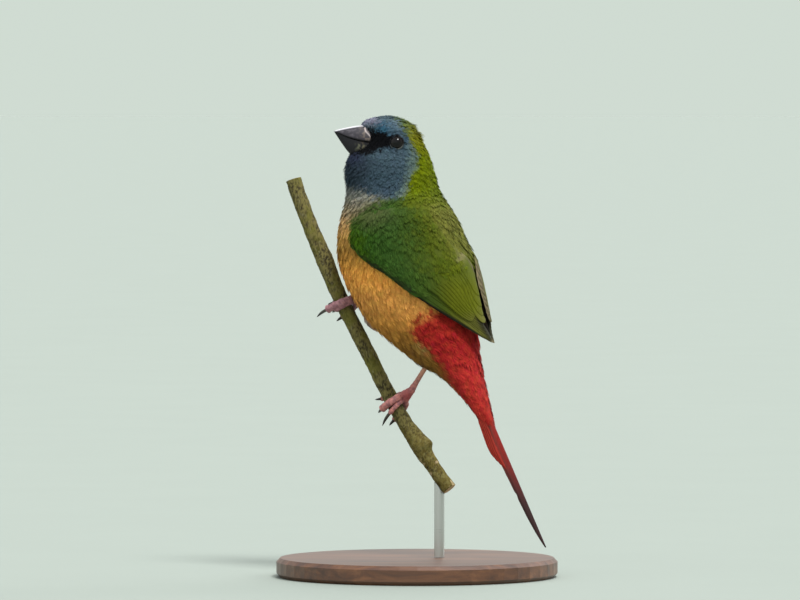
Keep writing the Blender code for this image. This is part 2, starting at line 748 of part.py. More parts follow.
def claw_path(grip, path, length, steps=5):
    """A claw that carries on from the toe and hooks down and towards the perch."""
    ahead = unit(path[-1] - path[-2])
    down = perch_frame(grip)[1]
    sideways = unit(np.cross(down, ahead))
    sideways *= math.copysign(1, np.dot(sideways, perch_frame(path[-1][2])[0] - path[-1]))
    start = path[-1] + ahead * (GAP + 0.45)
    claw = []
    for i in range(steps):
        run = length * i / (steps - 1)
        claw.append(start + ahead * run + down * 0.05 * run * run + sideways * 0.05 * run * run)
    return claw


def make_leg(side):
    grip, ankle, toes = FEET[side]
    pad = beside_perch(grip, 0.2, 4 if side == "left" else -4, GAP + 1.25)
    shank = [np.array(ankle) + (pad - np.array(ankle)) * s for s in (0, 0.25, 0.5, 0.75, 0.92, 1)]
    pieces = [tube("shank", shank, [1.1, 0.85, 0.75, 0.8, 1.0, 1.2])]
    for name, (start, release, low, high, run, thick, claw_length) in toes.items():
        path = toe_path(grip, start, release, low, high, run, thick)
        radii = [1.1, *[thick * (1.05 if i % 2 else 0.92) for i in range(len(path))]]
        radii[-1] = 0.7 * thick
        pieces.append(tube("toe", [pad + (path[0] - pad) * 0.2, *path], radii, 6))
        claw = tube("claw", claw_path(grip, path, claw_length), [0.55, 0.5, 0.4, 0.27, 0.1], 6)
        finish(claw, f"claw_{side}_{name}", "claw")
    finish(keep_largest(cut(union(pieces), body_cutter())), f"leg_{side}", "skin")


def cylinder(radius, low, high, at, sides):
    bpy.ops.mesh.primitive_cylinder_add(
        vertices=sides,
        radius=radius * MM,
        depth=(high - low) * MM,
        location=(at[0] * MM, at[1] * MM, (low + high) / 2 * MM),
    )
    return bpy.context.active_object


def make_stand():
    base = cylinder(BASE_RADIUS, 0, BASE_HEIGHT, (0, 0), 48)
    rim = base.modifiers.new("rim", "BEVEL")
    rim.width = BASE_BEVEL * MM
    rim.segments = 1
    rim.limit_method = "ANGLE"
    finish(base, "stand_base", "wood")
    xs, heights, _ = zip(*PERCH)
    height_here = np.interp(-ROD_X, [-x for x in xs], heights)
    rod = cylinder(ROD_RADIUS, BASE_HEIGHT + GAP, height_here, pose_body([(ROD_X, 0, 0)])[0], 20)
    finish(keep_largest(cut(rod, perch_tube("cutter", GAP))), "stand_rod", "steel")


def main():
    for obj in list(bpy.data.objects):
        bpy.data.objects.remove(obj)
    group = bpy.data.collections.new("parrotfinch")
    bpy.context.scene.collection.children.link(group)
    group.objects.link(bpy.data.objects.new("placing", None))
    make_head()
    make_trunk()
    make_bill()
    make_wings()
    make_tail()
    for side in FEET:
        make_leg(side)
    finish(perch_tube("perch"), "perch", "bark")
    make_stand()


main()
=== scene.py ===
"""The looks of a life-size male pin-tailed parrotfinch on its perch and display stand.

Sizes are in millimetres, and are scaled to metres where a mesh is made. The bird is drawn in
its own mid-plane, as its solids are: x runs back towards the tail, y to its right, and z is
the height above the floor. pose() then turns it over the stand, with the twist of its neck.
"""

import math

import bpy
import numpy as np
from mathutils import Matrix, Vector, noise
from mathutils.bvhtree import BVHTree


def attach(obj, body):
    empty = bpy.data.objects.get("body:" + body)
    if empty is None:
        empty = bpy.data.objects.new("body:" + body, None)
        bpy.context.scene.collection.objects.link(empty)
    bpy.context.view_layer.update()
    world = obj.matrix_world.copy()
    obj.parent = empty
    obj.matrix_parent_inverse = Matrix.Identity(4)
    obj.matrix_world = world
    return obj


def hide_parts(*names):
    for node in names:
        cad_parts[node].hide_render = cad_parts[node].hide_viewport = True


MM = 0.001

# The photograph's frame, and where the bird stands in it
FRAME_PIXELS = (800, 600)
PIXEL = 0.3125
AXIS_PIXEL = (417, 577)

# The pose, in degrees and millimetres
BODY_YAW = 22.0
HEAD_YAW = -10.0
TWIST_FROM = 112.0
TWIST_TO = 131.0
NECK_AT = (-7.5, 4.0)

# The body, from crown to tail coverts: the front and back of its outline as (x, z), half
# its width, and how much narrower it is in front than behind
BODY = {
    "crown": ((-1.6, 144.3), (-1.3, 144.3), 0.1, 0.0),
    "cap": ((-6.6, 143.4), (3.5, 143.1), 5.1, 0.0),
    "forehead": ((-8.5, 141.7), (5.9, 141.2), 7.1, 0.06),
    "lores": ((-8.9, 138.6), (7.9, 138.2), 8.6, 0.14),
    "eye": ((-9.8, 135.1), (9.8, 135.0), 9.2, 0.18),
    "chin": ((-13.7, 132.0), (11.3, 132.0), 9.4, 0.2),
    "throat": ((-14.6, 128.2), (12.6, 128.2), 9.7, 0.12),
    "nape": ((-14.8, 124.2), (13.7, 124.2), 10.2, 0.06),
    "neck": ((-14.8, 120.2), (14.9, 120.4), 11.0, 0.04),
    "collar": ((-15.8, 116.0), (17.0, 117.6), 12.2, 0.04),
    "breast": ((-17.3, 110.4), (20.3, 113.1), 13.8, 0.04),
    "shoulder": ((-18.1, 104.0), (23.0, 107.6), 15.0, 0.04),
    "keel": ((-17.5, 97.6), (24.9, 102.4), 15.6, 0.03),
    "mid_back": ((-15.4, 91.6), (26.1, 97.7), 15.7, 0.02),
    "belly": ((-12.3, 86.0), (26.6, 93.4), 15.4, 0.0),
    "flank": ((-8.2, 80.6), (26.9, 89.0), 14.8, -0.02),
    "loin": ((-2.9, 75.4), (27.3, 84.4), 13.7, -0.04),
    "rump": ((3.6, 70.6), (27.8, 79.4), 12.1, -0.05),
    "vent": ((10.0, 66.8), (28.2, 74.4), 10.3, -0.05),
    "tail_root": ((15.4, 63.4), (28.7, 69.6), 8.6, -0.05),
    "covert_1": ((20.2, 59.6), (29.6, 64.6), 7.0, 0.0),
    "covert_2": ((25.0, 54.8), (31.0, 58.6), 5.5, 0.0),
    "covert_3": ((29.2, 50.0), (32.6, 52.4), 3.6, 0.0),
    "covert_4": ((32.3, 45.4), (33.6, 46.4), 1.2, 0.0),
}
BODY_NAMES = list(BODY)
COVERTS_END = BODY_NAMES.index("covert_4")

# Where the thighs fill the belly, and the brow swells over the bill: centre, reach and push
SWELLINGS = (
    ((-8.7, 0.0, 141.2), 2.5, (-1.4, 0.0, 0.2)),
    ((-7.2, 4.0, 79.2), 4.1, (-4.0, 0.8, -1.3)),
    ((12.0, -6.5, 69.5), 5.0, (-0.3, -0.8, -1.1)),
)

# The surface that the folded wings lie on, in the same form as the body
MANTLE = {
    "collar": ((-15.9, 116.4), (17.3, 118.3), 12.7, 0.04),
    "breast": ((-17.2, 110.5), (21.0, 113.4), 14.9, 0.04),
    "shoulder": ((-18.0, 104.0), (23.9, 107.6), 16.6, 0.04),
    "keel": ((-17.4, 97.5), (26.1, 102.2), 17.4, 0.03),
    "mid_back": ((-15.3, 91.6), (27.9, 97.2), 17.6, 0.02),
    "belly": ((-12.2, 86.0), (29.4, 92.2), 17.2, 0.0),
    "flank": ((-8.2, 80.5), (30.7, 87.2), 16.0, 0.0),
    "loin": ((-2.8, 75.3), (32.0, 82.1), 14.2, 0.0),
    "rump": ((5.0, 70.2), (33.3, 78.0), 11.4, 0.0),
    "tip": ((13.0, 66.2), (34.8, 74.0), 8.6, 0.0),
    "beyond": ((20.0, 62.4), (37.0, 69.6), 6.0, 0.0),
}

# The folded wing's lower edge and top edge: levels on the mantle, and degrees round it
# from the front
WING_LOW = (
    (0.3, 94), (0.45, 78), (0.8, 60), (1.3, 52.5), (2, 51), (2.66, 59.5), (3.3, 72.5), (3.68, 80.5),
    (4.28, 88.5), (5, 96.5), (5.92, 108), (6.46, 116), (7.34, 131), (8.22, 149), (9, 168),
)
WING_TOP = ((0.3, 138), (1, 141), (2, 149), (3, 160), (4, 171), (5, 177), (9, 177))
# Where the primaries end, from the lowest up: level, and share of the way to the top edge
PRIMARY_TIPS = (
    (8.78, 0.24), (9.0, 0.42), (8.95, 0.62), (8.5, 0.57), (8.1, 0.61), (7.75, 0.65), (7.4, 0.68),
)
# How far the left wing's top edge (1) keeps from the midline, and the right one's (-1): level and
# clearance
MIDLINE_CLEAR = {
    1: ((3, 0.7), (4, 1.5), (5, 2.7), (7, 2.8), (8.2, 0.25)),
    -1: ((3, 0.2), (4, -0.5), (5, -1.7), (7, -1.9), (8.2, -0.45)),
}
# How much further round the tertials lie, as a share of the wing
TERTIALS_MOVED = {1: -0.045, -1: 0.06}
# How much lower each feather's upper edge lies than its middle, under the next feather
SHINGLE = 0.13

# The eye: where it shows from the side as (x, z), its radius, how deep in the head its middle
# lies, how far its cornea bulges, and the radius and the height of the lids' ring over its middle
EYE_AT = (-0.4, 135.9)
EYE_RADIUS = 2.5
EYE_DEPTH = 1.9
CORNEA = 0.12
LID_RADIUS = 2.12
LID_HEIGHT = 1.46

# The tail, from its root under the coverts to its tip
TAIL_ROOT = np.array([28.0, 0, 60.4])
TAIL_TIP = np.array([51.2, 0, 10.2])
# Its feathers in pairs from the top down: length, and half the width of a vane
TAIL_PAIRS = ((55.4, 2.3), (29.4, 1.9), (28.4, 2.0), (27.2, 2.0), (25.8, 2.0), (24.2, 1.9))

# The bill, from inside the head to its tip: x, height of the culmen, of the gape line and
# of the lowest edge, and half the width
BILL = (
    (-3.5, 140.6, 135.6, 130.6, 3.3),
    (-7.4, 141.3, 135.9, 130.8, 3.8),
    (-9.4, 141.2, 136.1, 130.7, 3.6),
    (-11.4, 141.0, 136.5, 130.8, 3.2),
    (-13.2, 140.7, 137.0, 131.6, 2.7),
    (-14.8, 140.4, 137.5, 133.2, 2.15),
    (-16.2, 140.1, 138.1, 135.1, 1.55),
    (-17.5, 139.8, 138.7, 137.0, 0.95),
    (-18.7, 139.4, 139.1, 138.8, 0.3),
)
GAPE_GAP = 0.1
# The upper half's nostrils as (x, y, z), to each side, and how deep they are
NOSTRIL_AT = (-9.9, 2.2, 139.9)
NOSTRIL_DEEP = 0.42

# The perch, from its cut lower end up: centre x and z, and radius
PERCH = (
    (19.0, 27.6, 2.25),
    (16.2, 31.0, 2.2),
    (13.2, 35.0, 2.3),
    (10.7, 38.4, 2.7),
    (9.2, 41.2, 3.1),
    (7.4, 43.6, 2.8),
    (4.5, 47.4, 2.4),
    (-0.1, 54.6, 2.3),
    (-4.2, 61.8, 2.25),
    (-9.8, 72.2, 2.3),
    (-14.1, 79.8, 2.3),
    (-17.8, 86.8, 2.35),
    (-20.9, 93.4, 2.5),
    (-22.9, 98.2, 2.7),
    (-24.9, 102.4, 2.55),
    (-28.7, 110.9, 2.4),
    (-32.3, 119.6, 2.4),
    (-33.8, 124.0, 2.4),
)

# Each foot: the height where it grips the perch, how far its joint stands off the bark, its
# ankle, and its toes. A toe wraps the perch from one angle to another, counted from the bird's
# side of it towards the bird's left, and slides down the perch from one distance to another.
# Then it runs straight on. The last three numbers are that run, the toe's thickness and the
# claw's length.
FEET = {
    "left": (54.4, 5.1, (15.2, -4.2, 69.6), {
        "front": (15, 126, 0.0, 0.2, 1.2, 1.15, 2.0),
        "outer": (8, 104, 1.1, 2.6, 0.5, 0.75, 4.6),
        "inner": (-8, -150, -0.8, -3.0, 0.5, 0.8, 1.8),
        "hind": (-16, -146, 1.8, 4.4, 0.4, 0.9, 2.1),
    }),
    "right": (84.8, 2.7, (-8.4, 4.8, 79.2), {
        "front": (15, 112, 0.0, -0.5, 3.0, 1.22, 4.8),
        "inner": (8, 118, 0.6, 0.7, 0.2, 0.85, 1.4),
        "outer": (-8, -146, -0.8, -2.2, 0.4, 0.8, 1.7),
        "hind": (-16, -142, 1.4, 2.8, 0.3, 0.88, 1.8),
    }),
}


def smooth(x):
    """0 below 0, 1 above 1, and a smooth ramp between."""
    x = np.clip(x, 0.0, 1.0)
    return x * x * (3 - 2 * x)


def ramp(value, start, end):
    """0 where a value is at start, 1 where it is at end, and smooth between."""
    return smooth((value - start) / (end - start))


def past(value, edge, width):
    """0 to 1 across an edge that is that wide, and the other way where the width is below 0."""
    return smooth((value - edge) / width + 0.5)


def bell(value, middle, reach):
    """1 at the middle, falling away to 0 around it."""
    return np.exp(-(((value - middle) / reach) ** 2))


def read(table, at):
    """The numbers that a table of (place, number) gives at places between its rows."""
    return np.interp(at, *zip(*table))


def round_turn(count):
    """Angles evenly round a circle."""
    return np.arange(count) * 2 * math.pi / count


def unit(vectors):
    """Vectors of any number, each made one long."""
    return vectors / np.maximum(np.linalg.norm(vectors, axis=-1, keepdims=True), 1e-9)


def turned(points, degrees):
    """Points turned about the vertical through the neck, with the tail coming forward."""
    angles = np.radians(degrees)
    c, s = np.cos(angles), np.sin(angles)
    x, y, z = points[..., 0], points[..., 1], points[..., 2]
    return np.stack([c * x + s * y + NECK_AT[0], c * y - s * x + NECK_AT[1], z], axis=-1)


def pose(points):
    """Points of the straight bird as they stand in the pose, with the neck's twist."""
    points = np.asarray(points, float)
    share = ramp(points[..., 2], TWIST_FROM, TWIST_TO)
    return turned(points, BODY_YAW + (HEAD_YAW - BODY_YAW) * share)


def pose_body(points):
    """The same without the twist, for the perch that the bird stands along."""
    return turned(np.asarray(points, float), BODY_YAW)


def curve_through(knots, shares):
    """Points of a Catmull-Rom curve through rows of numbers, at shares of its row count."""
    knots = np.asarray(knots, float)
    padded = np.concatenate([[2 * knots[0] - knots[1]], knots, [2 * knots[-1] - knots[-2]]])
    shares = np.clip(np.asarray(shares, float), 0, len(knots) - 1)
    i = np.minimum(shares.astype(int), len(knots) - 2)
    u = (shares - i)[..., None]
    p0, p1, p2, p3 = (padded[i + step] for step in range(4))
    bend = 2 * p0 - 5 * p1 + 4 * p2 - p3
    return p1 + 0.5 * u * (p2 - p0 + u * (bend + u * (3 * (p1 - p2) + p3 - p0)))


# A step in level or angle that shows how a loft's surface runs
NUDGE = 0.02


class Loft:
    """A smooth closed surface through named sections, each a slice from front to back."""

    def __init__(self, sections, bumps=()):
        rows = [(*front, *back, width, taper) for front, back, width, taper in sections.values()]
        self.rows = np.array(rows, float)
        self.last = len(rows) - 1
        self.bumps = [(np.array(centre), reach, np.array(push)) for centre, reach, push in bumps]

    def surface(self, t, angle):
        """The point at a level and an angle from the front, positive on the bird's left."""
        t, angle = np.broadcast_arrays(np.asarray(t, float), np.asarray(angle, float))
        row = curve_through(self.rows, t)
        front, back, taper = row[..., 0:2], row[..., 2:4], row[..., 5]
        across = (front + back) / 2 + (front - back) / 2 * np.cos(angle)[..., None]
        width = np.maximum(row[..., 4], 0.05)
        y = -width * np.sin(angle) * (1 - taper * np.cos(angle))
        points = np.stack([across[..., 0], y, across[..., 1]], axis=-1)
        for centre, reach, push in self.bumps:
            away = ((points - centre) ** 2).sum(axis=-1)
            points = points + push * np.exp(-away / reach**2)[..., None]
        return points

    def tangents(self, t, angle):
        """How the point moves with the level and with the angle."""
        t = np.clip(t, 0.12, self.last - NUDGE)
        along = self.surface(t + NUDGE, angle) - self.surface(t - NUDGE, angle)
        around = self.surface(t, angle + NUDGE) - self.surface(t, angle - NUDGE)
        return along / (2 * NUDGE), around / (2 * NUDGE)

    def normal(self, t, angle):
        return unit(np.cross(*self.tangents(t, angle)))

    def point(self, t, angle, lift=0.0):
        return self.surface(t, angle) + self.normal(t, angle) * np.asarray(lift)[..., None]

    def moved(self, t, angle, step):
        """Levels and angles after small steps in space along the surface."""
        a, b = self.tangents(t, angle)
        aa, ab, bb = (a * a).sum(-1), (a * b).sum(-1), (b * b).sum(-1)
        sa, sb = (a * step).sum(-1), (b * step).sum(-1)
        scale = aa * bb - ab * ab
        return t + (sa * bb - sb * ab) / scale, angle + (sb * aa - sa * ab) / scale

    def from_side(self, x, z):
        """The level and angle of the point that shows at (x, z) from the bird's left."""
        levels = np.linspace(0, self.last, 12 * self.last + 1)
        rows = curve_through(self.rows, levels)
        front, back = rows[:, 0:2], rows[:, 2:4]
        chord = back - front
        side = chord[:, 0] * (z - front[:, 1]) - chord[:, 1] * (x - front[:, 0])
        i = int(np.flatnonzero((side[:-1] <= 0) & (side[1:] > 0))[0])
        t = levels[i] + side[i] / (side[i] - side[i + 1]) * (levels[i + 1] - levels[i])
        row = curve_through(self.rows, t)
        half = (row[0:2] - row[2:4]) / 2
        share = np.dot(np.array([x, z]) - (row[0:2] + row[2:4]) / 2, half) / np.dot(half, half)
        return t, math.acos(min(max(share, -1), 1))


body = Loft(BODY, SWELLINGS)
mantle = Loft(MANTLE)


def new_object(name, data):
    obj = bpy.data.objects.new(name, data)
    bpy.context.scene.collection.objects.link(obj)
    return obj


def new_piece(name, points, faces, material, colours=None, uvs=None, marks=None):
    """A visible piece from points in millimetres, in the pose, and like-sided faces."""
    points, faces = np.asarray(points, float), np.asarray(faces, np.int32)
    mesh = bpy.data.meshes.new(name)
    mesh.vertices.add(len(points))
    mesh.vertices.foreach_set("co", (points * MM).astype(np.float32).ravel())
    mesh.loops.add(faces.size)
    mesh.loops.foreach_set("vertex_index", faces.ravel())
    mesh.polygons.add(len(faces))
    mesh.polygons.foreach_set("loop_start", np.arange(0, faces.size, faces.shape[1], dtype=np.int32))
    mesh.update(calc_edges=True)
    if uvs is not None:
        layer = mesh.uv_layers.new(name="OFBake")
        layer.uv.foreach_set("vector", np.asarray(uvs)[faces.ravel()].astype(np.float32).ravel())
    if colours is not None:
        layer = mesh.attributes.new("plumage", "FLOAT_COLOR", "POINT")
        opaque = np.concatenate([colours, np.ones((len(points), 1))], axis=1)
        layer.data.foreach_set("color", opaque.astype(np.float32).ravel())
    if marks is not None:
        layer = mesh.attributes.new("marks", "FLOAT_VECTOR", "POINT")
        layer.data.foreach_set("vector", np.asarray(marks, np.float32).ravel())
    mesh.shade_smooth()
    mesh.materials.append(material)
    obj = new_object(name, mesh)
    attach(obj, "root")
    return obj


def grid_faces(rows, columns, closed=False):
    """The quads of a grid of points, row by row, joined round where it is closed."""
    r, c = np.meshgrid(
        np.arange(rows - 1) * columns, np.arange(columns if closed else columns - 1), indexing="ij"
    )
    after = (c + 1) % columns
    corners = [r + c, r + columns + c, r + columns + after, r + after]
    return np.stack(corners, axis=-1).reshape(-1, 4)


# Materials

def paint(red, green, blue):
    """A colour as a screen shows it, from 0 to 255, as linear light."""
    seen = np.array([red, green, blue]) / 255
    return np.where(seen <= 0.04045, seen / 12.92, ((seen + 0.055) / 1.055) ** 2.4)


def add(tree, kind, inputs=None, **settings):
    """A node with its settings. Each input is a value, a colour or another node's output."""
    made = tree.nodes.new(kind)
    for key, value in settings.items():
        setattr(made, key, value)
    for key, value in (inputs or {}).items():
        socket = made.inputs[key]
        if isinstance(value, bpy.types.NodeSocket):
            tree.links.new(value, socket)
        else:
            socket.default_value = (*value, 1.0) if isinstance(value, np.ndarray) else value
    return made


def new_material(name, **values):
    """A material, its node tree and its shader, with the values that are the same all over."""
    made = bpy.data.materials.new(name)
    made.use_nodes = True
    shader = made.node_tree.nodes["Principled BSDF"]
    for key, value in values.items():
        shader.inputs[key.replace("_", " ").title().replace("Ior", "IOR")].default_value = value
    return made, made.node_tree, shader


def ramp_node(tree, factor, stops):
    """A colour ramp through (place, colour) stops."""
    made = add(tree, "ShaderNodeValToRGB", {"Fac": factor})
    band = made.color_ramp
    while len(band.elements) < len(stops):
        band.elements.new(0.5)
    for element, (place, colour) in zip(band.elements, stops):
        element.position = place
        element.color = (*colour, 1.0)
    return made.outputs["Color"]


def blend_node(tree, factor, a, b):
    made = add(tree, "ShaderNodeMix", {"Factor": factor, 6: a, 7: b}, data_type="RGBA")
    return made.outputs[2]


def math_node(tree, operation, *values):
    return add(tree, "ShaderNodeMath", dict(enumerate(values)), operation=operation).outputs[0]


def places(tree):
    """Places on the object, in metres."""
    return add(tree, "ShaderNodeTexCoord").outputs["Object"]


def drawn_out(tree, *scale):
    """The same, each of their numbers times its own scale."""
    return add(tree, "ShaderNodeMapping", {"Vector": places(tree), "Scale": scale}).outputs[0]


def noise_at(tree, place, scale, detail, roughness=0.5, **more):
    """Noise over some places, once they are multiplied by a scale."""
    inputs = {"Vector": place, "Scale": scale, "Detail": detail, "Roughness": roughness, **more}
    return add(tree, "ShaderNodeTexNoise", inputs).outputs["Fac"]


def noise_node(tree, size, detail=3.0, roughness=0.6):
    """Noise whose features are about that many millimetres across."""
    return noise_at(tree, places(tree), 1 / (size * MM), detail, roughness)


def spread(tree, value, low, high):
    """A 0 to 1 value stretched to run from low to high."""
    inputs = {"Value": value, "To Min": low, "To Max": high}
    return add(tree, "ShaderNodeMapRange", inputs).outputs["Result"]


def own_colour(tree, value, **more):
    """The piece's own colours, made lighter and darker by a value."""
    own = add(tree, "ShaderNodeAttribute", attribute_name="plumage").outputs["Color"]
    inputs = {"Value": value, "Color": own, **more}
    return add(tree, "ShaderNodeHueSaturation", inputs).outputs["Color"]


def roughen(tree, shader, height, depth, strength=1.0):
    """Gives a shader a bump whose full height is that many millimetres."""
    inputs = {"Strength": strength, "Distance": depth * MM, "Height": height}
    tree.links.new(add(tree, "ShaderNodeBump", inputs).outputs["Normal"], shader.inputs["Normal"])


def shade(tree, shader, colour, *bump):
    """Gives a shader its colour and its bump."""
    tree.links.new(colour, shader.inputs["Base Color"])
    roughen(tree, shader, *bump)


def feather_material():
    """Soft plumage: each feather's own colour, broken up by fine noise, with hardly any sheen."""
    made, tree, shader = new_material(
        "plumage", roughness=0.75, specular_ior_level=0.05, sheen_weight=0.02, sheen_roughness=0.5
    )
    fine = spread(tree, noise_node(tree, 0.45), 0.72, 1.3)
    broad = spread(tree, noise_node(tree, 4.0, 2.0), 0.84, 1.18)
    hue = spread(tree, noise_node(tree, 1.6, 2.0), 0.488, 0.512)
    colour = own_colour(tree, math_node(tree, "MULTIPLY", fine, broad), Hue=hue, Saturation=1.02)
    shade(tree, shader, colour, noise_node(tree, 0.3, 2.0), 0.06, 0.5)
    return made


def vane_material():
    """The webs of the large feathers: slanted barbs to both sides of the shaft."""
    made, tree, shader = new_material(
        "vanes", roughness=0.65, specular_ior_level=0.06, sheen_weight=0.01, sheen_roughness=0.4
    )
    marks = add(tree, "ShaderNodeAttribute", attribute_name="marks").outputs["Vector"]
    across, along, number = add(tree, "ShaderNodeSeparateXYZ", {0: marks}).outputs
    slant = math_node(tree, "MULTIPLY_ADD", math_node(tree, "ABSOLUTE", across), -1.5, along)
    place = add(tree, "ShaderNodeCombineXYZ", {"X": slant, "Y": number}).outputs[0]
    barbs = noise_at(tree, place, 4.2, 3.0, 0.7)
    lines = spread(tree, barbs, 0.6, 1.4)
    bands = spread(tree, noise_at(tree, place, 1.1, 2.0), 0.75, 1.25)
    shade(tree, shader, own_colour(tree, math_node(tree, "MULTIPLY", lines, bands)), barbs, 0.12, 0.6)
    return made


# Plumage colours

# Down the breast and belly, by height
FRONT = (
    (56, (124, 94, 42)), (63, (132, 98, 42)), (68, (136, 98, 44)), (73, (158, 112, 50)),
    (79, (196, 138, 68)), (86, (216, 154, 82)), (94, (240, 171, 84)), (101, (172, 129, 62)),
    (106, (186, 144, 80)), (110, (196, 158, 106)), (114, (158, 144, 118)), (118, (128, 128, 118)),
    (123, (84, 92, 98)),
)
# Down the crown, nape and back
BACK = (
    (88, (88, 100, 30)), (100, (92, 105, 38)), (110, (97, 108, 40)), (116, (88, 100, 24)),
    (122, (90, 102, 5)), (130, (97, 108, 5)), (137, (114, 112, 20)), (141, (106, 112, 42)),
    (145, (100, 110, 66)),
)
# Down the blue face
FACE = (
    (118, (60, 76, 88)), (125, (55, 72, 82)), (132, (74, 92, 103)), (137, (68, 92, 108)),
    (140.5, (86, 104, 116)), (143, (91, 107, 114)),
)
RED = (
    (40, (150, 50, 42)), (52, (172, 54, 48)), (62, (172, 52, 48)), (72, (152, 40, 38)),
    (84, (152, 44, 36)),
)
# How far back the green begins on the side, by height, and how far back the red does
GREEN_FROM = (
    (75, 40), (84, 20), (92, 8), (100, 0), (105, -7), (109, -10.5), (112, -9), (114, -6), (116, -3.4),
    (117.5, -1.2), (118.4, 5.8), (121, 5.3), (124.4, 4.8), (128.4, 6.0), (132.5, 5.5), (137.5, 2.4),
    (140.5, 1.0), (143.5, -0.2),
)
RED_FROM = (
    (44, 29), (50, 28), (55.3, 25.6), (60, 22.4), (65.3, 19.6), (70.6, 17.2), (73, 13.6), (75.6, 12.0),
    (78, 11.4), (79.7, 12.2), (82, 16), (84, 20), (88, 28), (92, 40),
)
# Where the blue of the face ends below, and the black before the eye above and below, along x
BLUE_DOWN_TO = ((-15, 121.9), (-11, 121.2), (-7, 119.9), (-3, 118.3), (2.4, 117.8), (6, 117.8))
LORE_TOP = ((-10, 140.7), (-1, 138.0))
LORE_FOOT = ((-8, 131.8), (-5.5, 133.0), (-3, 133.9))
# The belly's outline, and the middle of the trunk, by height
BELLY_EDGE = [BODY[name][0][::-1] for name in ("loin", "flank", "belly", "mid_back", "keel")]
AXIS_AT = (
    (75, 13.0), (86, 7.2), (92, 5.4), (98, 3.7), (104, 2.5), (110, 1.5), (116, 0.6), (124, -0.4),
    (144, -0.5),
)

THROAT = paint(47, 58, 68)
CHIN = paint(46, 48, 74)
TURQUOISE = paint(48, 94, 118)
FOREHEAD = paint(152, 148, 168)
CHEEK_BACK = paint(98, 115, 104)
BELLY_SHADE = paint(124, 92, 80)
LORES = paint(14, 15, 18)
COLLAR_OLIVE = paint(94, 93, 62)
BACK_BROWN = paint(112, 106, 58)
# Round the wing and back from the wing's front edge to the midline, by degrees round the body
WING = (
    (50, (48, 84, 14)), (74, (50, 82, 25)), (98, (54, 82, 32)), (114, (61, 82, 29)),
    (132, (75, 87, 21)), (150, (85, 95, 20)), (177, (92, 101, 28)),
)
CROWN_DARK = paint(60, 84, 58)
WING_BRIGHT = paint(62, 92, 14)
WING_YELLOW = paint(99, 103, 14)
QUILL_DARK = paint(36, 34, 24)
WEB_BROWN = paint(92, 84, 56)
WEB_BUFF = paint(160, 144, 108)
TAIL_RED = paint(118, 31, 26)
TAIL_ORANGE = paint(146, 48, 34)
TAIL_BROWN = paint(82, 52, 44)
TAIL_TIP_DARK = paint(50, 34, 33)
THIGH_BUFF = paint(150, 124, 78)
THIGH_GREY = paint(205, 180, 170)
FLANK_LINE = paint(84, 54, 26)
# How much darker the large feathers are that lie folded, and the skin under the coat, painted darker
# as painted shade in the gaps between the feathers
IN_FOLD = 0.74
UNDER_COAT_SHADE = 0.9


def by(stops, at):
    """Colours along a number, between named ones."""
    places = [place for place, _ in stops]
    colours = np.array([paint(*colour) for _, colour in stops])
    return np.stack([np.interp(at, places, colours[:, i]) for i in range(3)], axis=-1)


def mix(base, colour, share):
    """A colour or colours with a share of another mixed in."""
    return base + (colour - base) * np.clip(share, 0, 1)[..., None]


def near(points, centre, reach):
    """1 at a place on either side of the bird, falling away to 0 around it, by x and z."""
    away = ((points[..., 0] - centre[0]) ** 2 + (points[..., 2] - centre[1]) ** 2) / reach**2
    return np.exp(-away)


def plumage(points):
    """The colours of the body's feathers at places on the straight bird."""
    x, y, z = np.moveaxis(points, -1, 0)
    edge = read(GREEN_FROM, z)

    # The green mantle, nape and crown
    degrees = np.degrees(np.arctan2(abs(y), read(AXIS_AT, z) - x))
    nape_from = 118.5 - 5 * ramp(degrees, 100, 135)
    green = mix(by(WING, degrees), by(BACK, z), ramp(z, nape_from, nape_from + 5))
    between_wings = ramp(degrees, 128, 164) * ramp(z, 96, 102) * ramp(z, 119, 113)
    green = mix(green, BACK_BROWN, 0.45 * between_wings)
    dark_to = edge + 3.2 + 1.6 * ramp(z, 138.5, 141.5)
    green = mix(green, CROWN_DARK, 0.65 * ramp(z, 134.5, 137.5) * ramp(x, dark_to, dark_to - 2.8))

    # The buff breast and belly, with the thighs
    down_belly = x + 0.75 * z
    front = mix(by(FRONT, z), FLANK_LINE, 0.75 * bell(down_belly, 64.6, 0.9) * ramp(z, 75.5, 73.5))
    front = mix(front, THIGH_BUFF, 0.8 * near(points, (15.0, 71.6), 2.4))
    belly = read(BELLY_EDGE, z)
    front_edge = ramp(x, belly + 2.8, belly + 0.6) * ramp(z, 78, 81) * ramp(z, 97, 92)
    front = mix(front, BELLY_SHADE, 0.8 * front_edge)
    fluff = ramp(down_belly, 54.4, 51.4) * ramp(z, 89, 86) * ramp(z, 74, 77)
    front = mix(front, THIGH_GREY, 0.75 * fluff)

    colour = mix(front, green, past(x, edge, 2.0))
    collar = bell(x, edge, 3.4) * ramp(z, 110, 114) * ramp(z, 118.5, 117)
    colour = mix(colour, COLLAR_OLIVE, 0.75 * collar)
    colour = mix(colour, by(RED, z), past(x, read(RED_FROM, z), 3.2))

    # The blue face
    blue = mix(by(FACE, z), CHEEK_BACK, 0.7 * ramp(x, 2, 5) * ramp(z, 138, 135))
    blue = mix(blue, THROAT, 0.75 * ramp(x, -5, -10) * ramp(z, 134, 129))
    blue = mix(blue, CHIN, 0.8 * near(points, (-13.0, 131.4), 2.8))
    blue = mix(blue, TURQUOISE, 0.85 * near(points, (-4.2, 139.8), 2.3))
    blue = mix(blue, FOREHEAD, 0.75 * ramp(x, -3.6, -6.6) * ramp(z, 140.6, 142.2))
    colour = mix(colour, blue, past(x, edge, -1.8) * past(z, read(BLUE_DOWN_TO, x), 2.4))

    lores = past(z, read(LORE_TOP, x), -0.9) * past(z, read(LORE_FOOT, x), 1.0) * past(x, 0.2, -1.2)
    return mix(colour, LORES, np.maximum(lores, near(points, EYE_AT, 2.6)))


